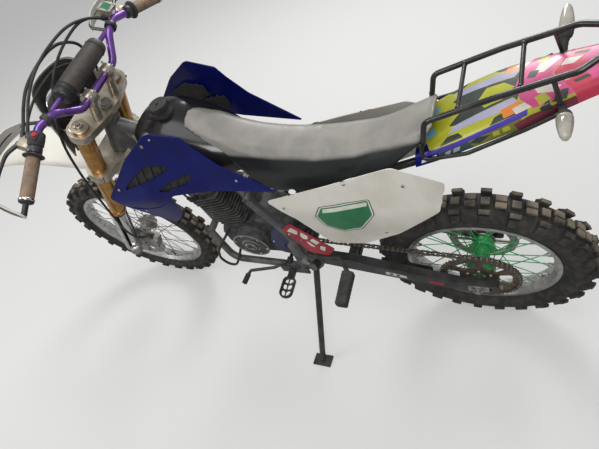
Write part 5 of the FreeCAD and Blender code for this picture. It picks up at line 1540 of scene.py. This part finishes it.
def makeForkTrim():
    shape = forkShape
    r, top, low = shape["outer"], shape["top"], shape["low"]
    cap = [(0, top - 0.4), (r - 0.6, top - 0.4), (r + 0.4, top + 0.4), (r + 0.4, top + 3.4), (r - 1.4, top + 5),
           (18, top + 5.4),
           (17.4, top + 3), (12.2, top + 3), (12, top + 9), (10.5, top + 10.4), (6.4, top + 10.4), (6, top + 7.4),
           (0, top + 7.4)]
    collar = [(r - 1, low - 0.2), (r + 2.2, low - 0.2), (r + 3, low + 2), (r + 3, low + 15), (r + 2.2, low + 17),
              (r - 1, low + 17)]
    seal = [(21, low - 17), (24.5, low - 17), (26, low - 14), (26, low - 8), (29, low - 6), (29.4, low - 0.4),
            (21, low - 0.4)]
    ring = [(r - 1, 600 - 0.2), (r + 1.4, 600), (r + 1.8, 601), (r + 1.8, 607), (r + 1.4, 608), (r - 1, 608)]
    band = [(r - 1, 818), (r + 1.2, 818), (r + 1.6, 819), (r + 1.6, 829), (r + 1.2, 830), (r - 1, 830)]
    parts = (("forkCaps", (cap,), False, "champagneAnodise"),
             ("forkCollars", (collar, ring, band), True, "goldAnodise"),
             ("forkSeals", (seal,), True, "blackRubber"))
    items = []
    for label, profiles, closed, finish in parts:
        shells = [stood(profile, 36, (0, shape["half"], 0), closed=closed)
                  for profile in profiles]
        items.append(asObject(label, bothSides(joined(shells)), forkSpace, finish))
    hexes = stood([(0, 0), (7, 0), (7, 7), (6, 8), (0, 8)], 6, (0, shape["half"], top + 7))
    items.append(asObject("forkAdjusters", bothSides(hexes), forkSpace, "bareSteel", 20))
    settle(mergeItems("forkTrim", items), "front_end")
    places = []
    for side in (1, -1):
        for z in (shape["lowerClamp"] - 9, shape["lowerClamp"] + 9, shape["topClamp"]):
            places.append(((-28, side * 134, z), (-0.55, side * 0.8, 0), 0, (1, 1, 1)))
        for x in (-46, -18):
            for y in (39, 63):
                places.append(((x, side * y, 965.2), (0, 0, 1), 0, (0.8, 0.8, 0.9)))
    settle(copiesOf("clampBolts", boltShell(), places, "bareSteel", forkSpace), "front_end")
    nut = [(0, 0), (19, 0), (20, 1.4), (20, 3), (17, 3.6), (17, 10), (15.5, 11.4), (9, 11.4), (8.4, 8), (0, 8)]
    addPiece("stemNut", stood(nut, 6, (-31, 0, 867.6)), forkSpace,
             "bareSteel", "front_end", sharp=25)


makeForkTrim()
print("fork trim made")


# Frame guards: red plates with pale generic patches.
guardPlate = {
    "outline": ((554, 691, 12), (514, 734, 14), (439, 640, 20), (406, 596, 14), (441, 548, 14), (499, 562, 20)),
    "patches": (((536, 690, 3), (516, 712, 4), (500, 694, 3), (508, 672, 3)),
        ((500, 668, 3), (490, 690, 3), (474, 668, 4),
        (482, 648, 4), (496, 650, 3)), ((476, 642, 3), (462, 656, 3), (446, 632, 4), (462, 618, 3)),
        ((492, 636, 3), (480, 630, 3), (468, 600, 3), (484, 606, 3)),
        ((450, 612, 3), (434, 606, 4), (446, 576, 3),
        (458, 590, 3))),
    "reach": 151.2, "bolts": ((505, 640), (535, 672))}


def makeGuards():
    shape = guardPlate
    patches = [(roundedOutline(line), 1) for line in shape["patches"]]

    def bulge(x, z):
        return (x, shape["reach"] - ((x - 480) / 90) ** 2 * 1.2 - ((z - 640) / 100) ** 2 * 1.2, z)
    plate = asObject("guardPlates", bothSides(patchSheet(roundedOutline(shape["outline"]), patches, bulge, 2.6, 9,
            outward=(0, 1, 0))), bikeSpace, ("redPlastic", "palePrint"),
            50)
    pegs = bothSides(joined([tubeMesh([(505, 112, 638), (505, 149, 638)], 5.8, 14),
            tubeMesh([(574, 127, 686), (538, 150, 668)], 4.8, 14)]))
    rods = asObject("guardPegs", pegs, bikeSpace, "blackMetal")
    places = [((x, side * 151.2, z), (0, side, 0), 0, (1, 1, 0.8)) for x, z in shape["bolts"] for side in (1, -1)]
    heads = copiesOf("guardBolts", boltShell(), places, "bareSteel", bikeSpace)
    settle(mergeItems("frameGuards", [plate, rods, heads]), "chassis", "frame_guards")


makeGuards()


# Discs: drilled rings on their arms; bolts on the sprocket and the discs' middles.
discSizes = {
    "rear": dict(outer=110, inner=84, level=-68, middle=36, node="rear_disc"),
    "front": dict(outer=120, inner=92, level=58, middle=34, node="front_disc")}
discShape = {"thick": 4.0, "hole": 2.9, "boltRing": 29.5, "sprocketRing": 40, "sprocketFace": 74.9}


def arc(radius, start, step, count):
    return [(radius * cos(start + k * step), radius * sin(start + k * step)) for k in range(count)]


def makeDisc(end, outer, inner, level, middle, node):
    wave = [((outer - 1.6 + 1.5 * cos(k * pi / 5)) * cos(2 * pi * k / 120), (outer - 1.6 + 1.5 * cos(k * pi / 5))
             * sin(2 * pi * k / 120)) for k in range(120)]
    holes = [ringSpots(middle - 8.2, 40)]
    for arm in range(6):
        near = arc(middle + 3, arm * pi / 3 + 0.17, 0.177, 5)
        far = arc(inner - 1, arm * pi / 3 + 0.07, 0.1131, 9)
        holes.append(near + far[::-1])
    band = (outer - inner) / 4
    for k in range(24):
        turn = 2 * pi * k / 24
        for r, shift in ((inner + band, 0.0), (outer - band - 1.5, 0.06)):
            holes.append([(r * cos(turn + shift) + x, r * sin(turn + shift) + y) for x,
                    y in ringSpots(discShape["hole"], 8)])
    shell = patchSheet(wave, [], lambda u, v: (u, v, level + discShape["thick"]), discShape["thick"], 14, holes)
    plate = asObject(end + "DiscPlate", shell, wheelSpace[end], "bareSteel", 30)
    face = level + discShape["thick"] if level > 0 else level
    aim = 1 if level > 0 else -1
    places = [((x, y, face), (0, 0, aim), 0, (0.9, 0.9, 0.9)) for x, y in ringSpots(discShape["boltRing"], 6)]
    heads = copiesOf(end + "DiscBolts", boltShell(), places, "blackMetal", wheelSpace[end])
    settle(mergeItems(end + "BrakeDisc", [plate, heads]), end + "_wheel", node)


for end, size in discSizes.items():
    makeDisc(end, **size)


def makeWheelTrim():
    places = [((x, y, discShape["sprocketFace"]), (0, 0, 1), 0, (1.2, 1.2, 1.2))
              for x, y in ringSpots(discShape["sprocketRing"], 6, pi / 6)]
    settle(copiesOf("sprocketBolts", boltShell(), places, "bareSteel", wheelSpace["rear"]), "rear_wheel")
    valve = [(0, 0), (4.6, 0), (4.6, 3), (3.2, 4), (3.0, 20), (4, 21), (4, 29), (3, 31), (0, 31)]
    for end, reach in (("rear", 213.0), ("front", 251.0)):
        # the stem points inward from the rim's floor, with its cap and lock nut
        stem = spun(valve, 12, (0, reach, 0), (0, reach - 30, 0))
        addPiece(end + "Valve", stem, wheelSpace[end], "blackRubber", end + "_wheel")


makeWheelTrim()
print("guards, discs and wheel trim made")


# Engine trim: cover bolts, a raised rim on the round cover, the plug with its lead, header flange.
engineShape = {"crank": (790, 465), "tilt": radians(17), "high": 96.0}


def makeEngineTrim():
    x, z = engineShape["crank"]
    high = engineShape["high"]
    left = [((x + dx, high + 0.2, z + dz), (0, 1, 0), 0, (1, 1, 1)) for dx, dz in ringSpots(62, 6, 0.3)]
    left += [((x + 16 * cos(t), 102.2, z + 16 * sin(t)), (0, 1, 0), 0, (0.7, 0.7, 0.8)) for t in (0.5, 2.6, 4.7)]
    right = [((x + dx, -112.2, z + dz), (0, -1, 0), 0, (1, 1, 1)) for dx, dz in
             ((-96, -44), (-30, -60), (40, -66), (72, -18), (72, 24), (24, 58), (-40, 58), (-96, 48))]
    cover = [((across, 90.2, up), (0, 1, 0), 0, (0.9, 0.9, 0.9)) for across, up in
             ((652, 396), (682, 500), (606, 556), (604, 428))]
    settle(copiesOf("engineBolts", boltShell(), left + right + cover, "bareSteel", bikeSpace), "chassis")
    rim = spun([(66, -0.5), (71.6, -0.5), (71.6, 1.6), (70.4, 2.6), (67.4, 2.6), (66, 1.4)], 60, (x, high, z),
               (x, 110, z), closed=True)
    step = spun([(30, -0.5), (36, -0.5), (36, 1.4), (34.6, 2.2), (30, 2.2)], 48, (x, high, z), (x, 110, z), closed=True)
    cap = spun([(19, -0.4), (24, -0.4), (24, 1.2), (22.8, 2), (19, 2)], 40, (x, 102, z), (x, 110, z), closed=True)
    filler = spun([(0, 0), (15, 0), (16, 2), (16, 7), (14, 9), (6, 9), (5, 12), (0, 12)], 24, (x + 70, -84, z + 40),
            (x + 70, -100, z + 40))
    addPiece("caseRims", joined([rim, step, cap, filler]), bikeSpace, "castAlloy", "chassis")
    s, c = sin(engineShape["tilt"]), cos(engineShape["tilt"])

    def deck(across, y, up):
        return Vector((x + across * c + up * s, y, z - across * s + up * c))
    plug = spun([(0, -6), (9, -6), (9, 4), (6, 5), (6, 14), (0, 14)], 6, deck(10, 58, 286), deck(10, 90, 296))
    boot = tubeMesh(smoothLine([deck(10, 66, 288), deck(10, 84, 294), deck(10, 92, 302), deck(10, 94, 318)], 14),
            [8.5] * 6 + [8] * 4 + [6.5] * 4, 14)
    lead = tubeMesh(smoothLine([deck(10, 94, 316), deck(6, 90, 352), deck(-6, 60, 388), deck(-10, 38, 400)], 30), 3.6,
            10)
    metal = asObject("plugMetal", plug, bikeSpace, "bareSteel", 25)
    rubber = asObject("plugLead", joined([boot, lead]), bikeSpace, "blackRubber", 60)
    settle(mergeItems("sparkPlug", [metal, rubber]), "chassis")
    studs = [(tuple(deck(dx, dy, 330)), (s, 0, c), 0, (1.1, 1.1, 1.2)) for dx in (-46, 46) for dy in (-34, 34)]
    settle(copiesOf("headBolts", boltShell(), studs, "bareSteel", bikeSpace), "chassis")
    flange = spun([(19.2, 0), (31, 0), (32, 1.5), (32, 7), (31, 8.5), (19.2, 8.5)], 32, (938, -33, 736),
            (968, -46.6, 726.7), closed=True)
    springs = [spun([(19.3, 0), (21.5, 0.6), (22, 3), (21.5, 5.4), (19.3, 6)], 28, a, b, closed=True)
               for a, b in (((970, -119, 594), (940, -124, 590)), ((700, -162, 614), (680, -166, 620)))]
    addPiece("headerTrim", joined([flange] + springs), bikeSpace, "darkSteel", "chassis")


makeEngineTrim()


# Intake: carburettor with its rubbers, bowl and cap, and the ribbed airbox.
intakeShape = {"front": (800, 0, 715), "rear": (648, 0, 742), "airbox": ((332, 702, 18), (440, 682, 18), (498, 721, 18),
        (503, 817, 8), (332, 817, 8))}


def makeIntake():
    front, rear = Vector(intakeShape["front"]), Vector(intakeShape["rear"])
    place = lineSpace(front, rear)
    long = (rear - front).length
    throat = turned(latheMesh([(17, 34), (23, 34), (24, 36), (24, 46), (20, 48), (20, 88), (24, 90), (24, 100),
            (23, 102),
            (17, 102)], 32), place)
    bowl = blockMesh(roundedOutline([(708, 706, 4), (708, 676, 8), (716, 669, 6), (748, 667, 6), (756, 674, 8),
            (758, 706, 4)]),
            -23, 23, 2.0)
    flange = blockMesh([(705, 704), (761, 704), (761, 709), (705, 709)], -25.5, 25.5, 1.2)
    middle = blockMesh([(712, 709), (754, 709), (757, 752), (715, 752)], -21, 21, 3.0)
    drain = spun([(0, -1), (8, -1), (8, 5), (6.5, 6.5), (0, 6.5)], 6, (731, 0, 668), (730, 0, 660))
    metal = asObject("carbMetal", joined([throat, bowl, flange, middle, drain]), bikeSpace, "castAlloy", 35)
    boot = [(17, 0), (22, 0), (23.6, 2), (23.6, 10), (22, 12), (22, 34), (17, 34)]
    ribbed = [(17, 102), (22, 102), (22, 110)]
    for k in range(4):
        ribbed += [(23.8, 112 + k * 9), (23.8, 115 + k * 9), (21.4, 117 + k * 9), (21.4, 119 + k * 9)]
    ribbed += [(23.6, long - 4), (23.2, long), (17, long)]
    cap = spun([(0, 0), (19, 0), (20, 1.5), (20, 12), (18, 14), (10, 16), (6, 18), (5.4, 32), (0, 33)], 28,
               (737, 0, 752), (746, 0, 790))
    knob = spun([(0, 0), (7, 0), (8, 1), (8, 9), (6, 10), (0, 10)], 12, (722, 20, 726), (722, 34, 726))
    boots = asObject("carbRubber", joined([turned(latheMesh(boot, 32), place), turned(latheMesh(ribbed, 32), place),
            cap, knob]),
            bikeSpace, "blackRubber", 35)
    clamps = [turned(latheMesh([(23.4, z), (24.8, z + 0.4), (24.8, z + 7.6), (23.4, z + 8)], 36), place) for z in (3,
            36, 91, long - 12)]
    screws = [((x, side * 22, 709), (0, 0, 1), 0, (0.6, 0.6, 0.7)) for x in (711, 755) for side in (1, -1)]
    bands = asObject("carbClamps", joined(clamps), bikeSpace, "bareSteel", 35)
    heads = copiesOf("carbScrews", boltShell(), screws, "bareSteel", bikeSpace)
    box = [blockMesh(roundedOutline(intakeShape["airbox"]), -49, 49, 2.5)]
    for k in range(5):
        box.append(blockMesh([(352 + k * 30, 722), (355 + k * 30, 722), (355 + k * 30, 806), (352 + k * 30, 806)],
                -50, 50, 0.6, 1))
    airbox = asObject("airboxShell", joined(box), bikeSpace, "castBlack", 35)
    settle(mergeItems("intakeParts", [metal, boots, bands, heads, airbox]), "chassis", "intake")


makeIntake()


# Muffler: a can with end caps, bands and rivets, and its outlet.
mufflerShape = {
    "start": (455, -200, 712), "end": (95, -214, 800),
    "outlet": ((101, -213.8, 798.5), (70, -215, 806), (45, -216, 812)), "outletRadii": (15.6, 15.6, 16),
    "hole": ((47, -215.9, 811.5), (44.6, -216, 812.1)), "holeRadii": (12.6, 12.8)}


def makeMuffler():
    shape = mufflerShape
    start, end = Vector(shape["start"]), Vector(shape["end"])
    long = (end - start).length
    place = lineSpace(start, end)
    can = [(0, 0), (30, 0), (41, 5), (44.4, 12), (45, 14), (45, 30), (44.2, 31), (44.2, long - 34), (45, long - 33),
           (45, long - 13),
           (42, long - 6), (30, long - 1), (17, long), (0, long)]
    body = asObject("mufflerCan", turned(latheMesh(can, 56, closed=False), place), bikeSpace, "muffledSteel", 30)
    tip = tubeMesh(shape["outlet"], shape["outletRadii"], 32)
    # a dark disc just inside the capped outlet: painted shade standing in for the open bore
    hole = tubeMesh(shape["hole"], shape["holeRadii"], 28)
    pipe = asObject("mufflerTip", tip, bikeSpace, "darkSteel", 30)
    dark = asObject("mufflerHole", hole, bikeSpace, "darkLiner", 30)
    strap = blockMesh([(225, 800), (255, 800), (255, 874), (225, 874)], -175, -171, 1.0, 1)
    arm = blockMesh([(225, 868), (255, 868), (255, 874), (225, 874)], -172, -71, 1.0, 1)
    bands = [turned(latheMesh([(44, z), (45.6, z), (46, z + 1), (46, z + 13), (45.6, z + 14), (44, z + 14)], 56), place)
             for z in (16, long - 30, 205)]
    held = asObject("mufflerStraps", joined([strap, arm] + bands), bikeSpace, "blackMetal", 30)
    rivets = [((46 * cos(t), 46 * sin(t), z), (cos(t), sin(t), 0), 0, (0.5, 0.5, 0.4))
              for t in (k * pi / 4 for k in range(8)) for z in (23, long - 23)]
    heads = copiesOf("mufflerRivets", boltShell(),
            [((place @ Vector(p)).to_tuple(), (place.to_3x3() @ Vector(d)).to_tuple(),
            spin, grow) for p, d, spin, grow in rivets], "bareSteel",
            bikeSpace)
    settle(mergeItems("mufflerBody", [body, pipe, dark, held, heads]), "chassis", "muffler")


makeMuffler()


# Shock absorber: a coil spring between its collars, damper and eyelets.
shockShape = {"low": (405, 0, 461), "high": (560, 0, 778), "turns": 6.2, "steps": 22, "wire": 5.2, "coil": 26.4,
        "coilFrom": 68, "coilLong": 180}


def makeShock():
    shape = shockShape
    low, high = Vector(shape["low"]), Vector(shape["high"])
    long = (high - low).length
    place = lineSpace(low, high)
    body = turned(latheMesh([(0, 14), (12, 14), (13, 16), (13, 52), (32, 54), (33, 56), (33, 62), (31, 64), (20, 66),
            (7.5, 66),
            (7.5, 168), (17, 168), (17, 252), (31, 254), (33, 256), (33, 268), (25, 270), (19, 272),
            (19, long - 16), (0, long - 16)], 36, closed=False), place)
    count = shape["turns"] * shape["steps"]
    turns = [2 * pi * k / shape["steps"] for k in range(int(count) + 1)]
    coil = [place @ Vector((shape["coil"] * cos(t), shape["coil"] * sin(t),
            shape["coilFrom"] + shape["coilLong"] * k / count)) for k, t in enumerate(turns)]
    eyes = []
    for spot in (low, high):
        eye = latheMesh([(8, -14), (18.5, -14), (19, -12), (19, 12), (18.5, 14), (8, 14)], 28)
        eyes.append(turned(eye, lineSpace(spot, spot + Vector((0, 10, 0)))))
    dark = asObject("shockBody", joined([body] + eyes), bikeSpace, "blackMetal", 35)
    spring = asObject("shockSpring", tubeMesh(coil, shape["wire"], 10), bikeSpace, "springPaint", 60)
    settle(mergeItems("shockAbsorber", [dark, spring]), "chassis", "shock_absorber")


makeShock()
print("engine, muffler and shock made")


# Small trim: the tank's cap, tail lamp, peg teeth, ribbed rubbers and the plates at the rear spindle.
def gearOutline(outer, inner, count):
    points = []
    for k in range(count):
        for share, r in ((-0.32, inner), (-0.16, outer), (0.16, outer), (0.32, inner)):
            turn = 2 * pi * (k + share) / count
            points.append((r * cos(turn), r * sin(turn)))
    return points


def makeTrim():
    flat = Matrix.Rotation(pi / 2, 4, "X")    # a block drawn in x and z stands up along z
    knurl = turned(blockMesh(gearOutline(29.8, 27.4, 20), 0, 16, 1.0, 1), Matrix.Translation((830, 0, 1082)) @ flat)
    base = stood([(0, -18), (29.6, -18), (29.6, 0.6), (0, 0.6)], 40, (830, 0, 1066))
    top = stood([(0, 0), (25, 0), (24, 2), (18, 3.4), (0, 3.6)], 36, (830, 0, 1082))
    vent = stood([(0, 0), (5.5, 0), (5.5, 6), (3.6, 7.5), (3.4, 14), (4.2, 15), (4.2, 18), (0, 18)], 14, (830, 0, 1083))
    addPiece("tankCap", joined([knurl, base, top, vent]), bikeSpace, "blackRubber", "chassis", "fuel_cap")
    lens = blockMesh([(-330.5, 1168), (-330.5, 1130), (-347, 1134), (-350, 1139), (-350, 1161), (-347, 1166)], -47,
            47, 3.0)
    ribs = [blockMesh([(-348, z - 1), (-348, z + 1), (-351, z + 0.6), (-351, z - 0.6)], -44, 44, 0.3, 1)
            for z in (1140, 1145, 1150, 1155, 1160)]
    addPiece("tailLens", joined([lens] + ribs), bikeSpace, "redLens", "chassis", "tail_light")
    teeth = [((x, side * y, 383.6), (0, 0, 1), 0, (0.5, 0.5, 1.1)) for side in (1, -1) for x in (617, 661)
             for y in (184, 194, 204, 214, 224, 234)]
    tooth = latheMesh([(0, 0), (5, 0), (2.4, 4.4), (0, 4.6)], 6, closed=False)
    settle(copiesOf("pegTeeth", tooth, teeth, "blackMetal", bikeSpace, sharp=20), "chassis")
    leaf = [tubeMesh([(639, 170, 379), (639, 249, 379)], 2.6, 8)]
    for y in (204, 230):
        leaf += [tubeMesh([(639, y, 379), (639 + side * 20, y - 19, 379)], 2.3, 8) for side in (1, -1)]
    addPiece("pegLeaf", bothSides(joined(leaf)), bikeSpace, "blackMetal", "chassis")
    toe = lineSpace((840, 158, 340), (846, 200, 338))
    profile = [(8.6, 2)]
    for k in range(8):
        profile += [(10.4, 3 + k * 5), (10.4, 5.6 + k * 5), (9.2, 6.2 + k * 5), (9.2, 7.4 + k * 5)]
    profile += [(10.2, 42), (8.6, 42.4)]
    kick = [(7, 2)]
    for k in range(7):
        kick += [(8.6, 3 + k * 6), (8.6, 6 + k * 6), (7.4, 6.8 + k * 6), (7.4, 8.4 + k * 6)]
    kick += [(8.4, 45), (7, 45.4)]
    addPiece("leverRubbers", joined([turned(latheMesh(profile, 20), toe),
            spun(kick, 20, (662, -124, 710), (680, -170, 716), closed=True)]), bikeSpace,
            "blackRubber", "chassis")
    for side, label in ((1, "left"), (-1, "right")):
        rings = []
        for y, grow in [(202.5, 0.7), (203, 0.94),
                (205, 1.0)] + [(208 + k * 2.5, 1.0 - 0.05 * (k % 4 == 0)) for k in range(30)] + [
                (285, 1.0), (288, 0.94), (289, 0.7)]:
            x, z = 363 + 0.25 * (y - 205), 545 - 0.7375 * (y - 205)
            bend = [(cos(t), sin(t)) for t in (k * pi / 12 for k in range(24))]
            rings.append([(x + 20 * grow * math.copysign(abs(a) ** 0.5, a), side * y,
                    z + 18.5 * grow * math.copysign(abs(b) ** 0.5, b))
                    for a, b in bend])
        addPiece(label + "PegRubber", ringsMesh(rings), bikeSpace, "blackRubber", "chassis")
    z0 = (bikeSpace.inverted() @ rearAxle).z
    plate = blockMesh(roundedOutline([(-34, z0 + 17, 5), (-34, z0 - 17, 5), (30, z0 - 17, 5), (30, z0 + 17, 5)]), 116,
            118.6, 0.5, 1)
    screw = spun([(0, 0), (4, 0), (4, 9), (7, 9.4), (7, 14), (6.4, 15), (0, 15)], 6, (-58, 102, z0), (-80, 102, z0))
    addPiece("axlePlates", bothSides(joined([plate, screw])), bikeSpace, "bareSteel", "chassis", sharp=25)


makeTrim()


# Generic patches on the swingarm's left face: corners in x and z.
armPatches = (("palePrint", (((291, 398), (224, 379), (222, 362), (292, 380)),)),
        ("redPlastic", (((150, 366), (104, 354), (106, 337), (152, 349)),)),
        ("darkPrint", (((278, 392), (266, 389), (268, 377), (280, 380)),
        ((256, 386), (244, 383), (246, 371), (258, 374)))))


def makeArmPatches():
    items = []
    for k, (finish, outlines) in enumerate(armPatches):
        shells = [blockMesh(roundedOutline([(x, z, 2.5) for x, z in line], 3), 115.9, 116.6 + 0.3 * (k == 2), 0.2, 1)
                  for line in outlines]
        items.append(asObject("armPatch", joined(shells), bikeSpace, finish))
    settle(mergeItems("armPatches", items), "chassis")


makeArmPatches()


# Headlamp: a dark bowl with a bright ring and a lens, on a cross plate clipped to the fork's tubes.
lampShape = {"back": (-274, 0, 733), "way": (1, 0, 0.25)}    # from the front axle


def makeHeadlamp():
    back, way = Vector(lampShape["back"]), Vector(lampShape["way"]).normalized()
    place = lineSpace(back, back + way)
    shell = latheMesh([(0, 0), (30, 0.4), (44, 4), (55, 13), (61, 26), (63, 40), (63.6, 50), (60, 50), (50, 36),
            (0, 30)], 56,
            closed=False)
    ring = latheMesh([(58.5, 46), (63.9, 46), (64, 49), (63.4, 55), (61.6, 57.6), (58.5, 57)], 56)
    lens = latheMesh([(0, 57.8), (20, 57.4), (40, 55.8), (52, 53.6), (59, 51), (59, 48.5), (0, 52)], 56, closed=False)
    bowl = asObject("lampBowl", turned(shell, place), axleSpace["front"], "blackRubber", 40)
    trim = asObject("lampRing", turned(ring, place), axleSpace["front"], "chromeTube", 40)
    glass = asObject("lampLens", turned(lens, place), axleSpace["front"], "lampGlass", 40)
    plate = blockMesh([(28, 752), (32, 752), (32, 792), (28, 792)], -118, 118, 0.8, 1)
    clips = [blockMesh([(6, 758), (30, 758), (30, 786), (6, 786)], s * 103 - 14, s * 103 + 14, 2.0) for s in (-1, 1)]
    arms = [blockMesh([(30, 756), (104, 756), (104, 780), (30, 780)], s * 34 - 4, s * 34 + 4, 1.5) for s in (-1, 1)]
    stays = asObject("lampStays", joined([plate] + clips + arms), forkSpace, "blackMetal")
    settle(mergeItems("headlampUnit", [bowl, trim, glass, stays]), "front_end", "headlamp")


makeHeadlamp()


# Machined and welded CAD pieces get their edges eased.
easedEdges = {    # mm
    "swingarm": 1.6, "engine_case": 2.0, "sprocket_cover": 1.6, "rear_caliper": 1.6, "front_caliper": 1.8,
    "triple_clamp_top": 1.8, "triple_clamp_bottom": 1.8, "side_stand": 1.0, "footpegs": 1.0, "passenger_pegs": 2.2,
    "chain_guide": 1.0, "fork_lugs": 1.2, "frame_main": 0.8, "rear_hub": 0.8, "front_hub": 0.8, "foot_levers": 0.8}
for nodeName, wide in easedEdges.items():
    item = nodes[nodeName]
    weld = item.modifiers.new("weld", "WELD")
    weld.merge_threshold = 0.00002
    ease = item.modifiers.new("ease", "BEVEL")
    ease.width = wide / 1000
    ease.segments = 2
    ease.limit_method = "ANGLE"
    ease.angle_limit = radians(50)
    ease.use_clamp_overlap = True
print("trim made and edges eased")
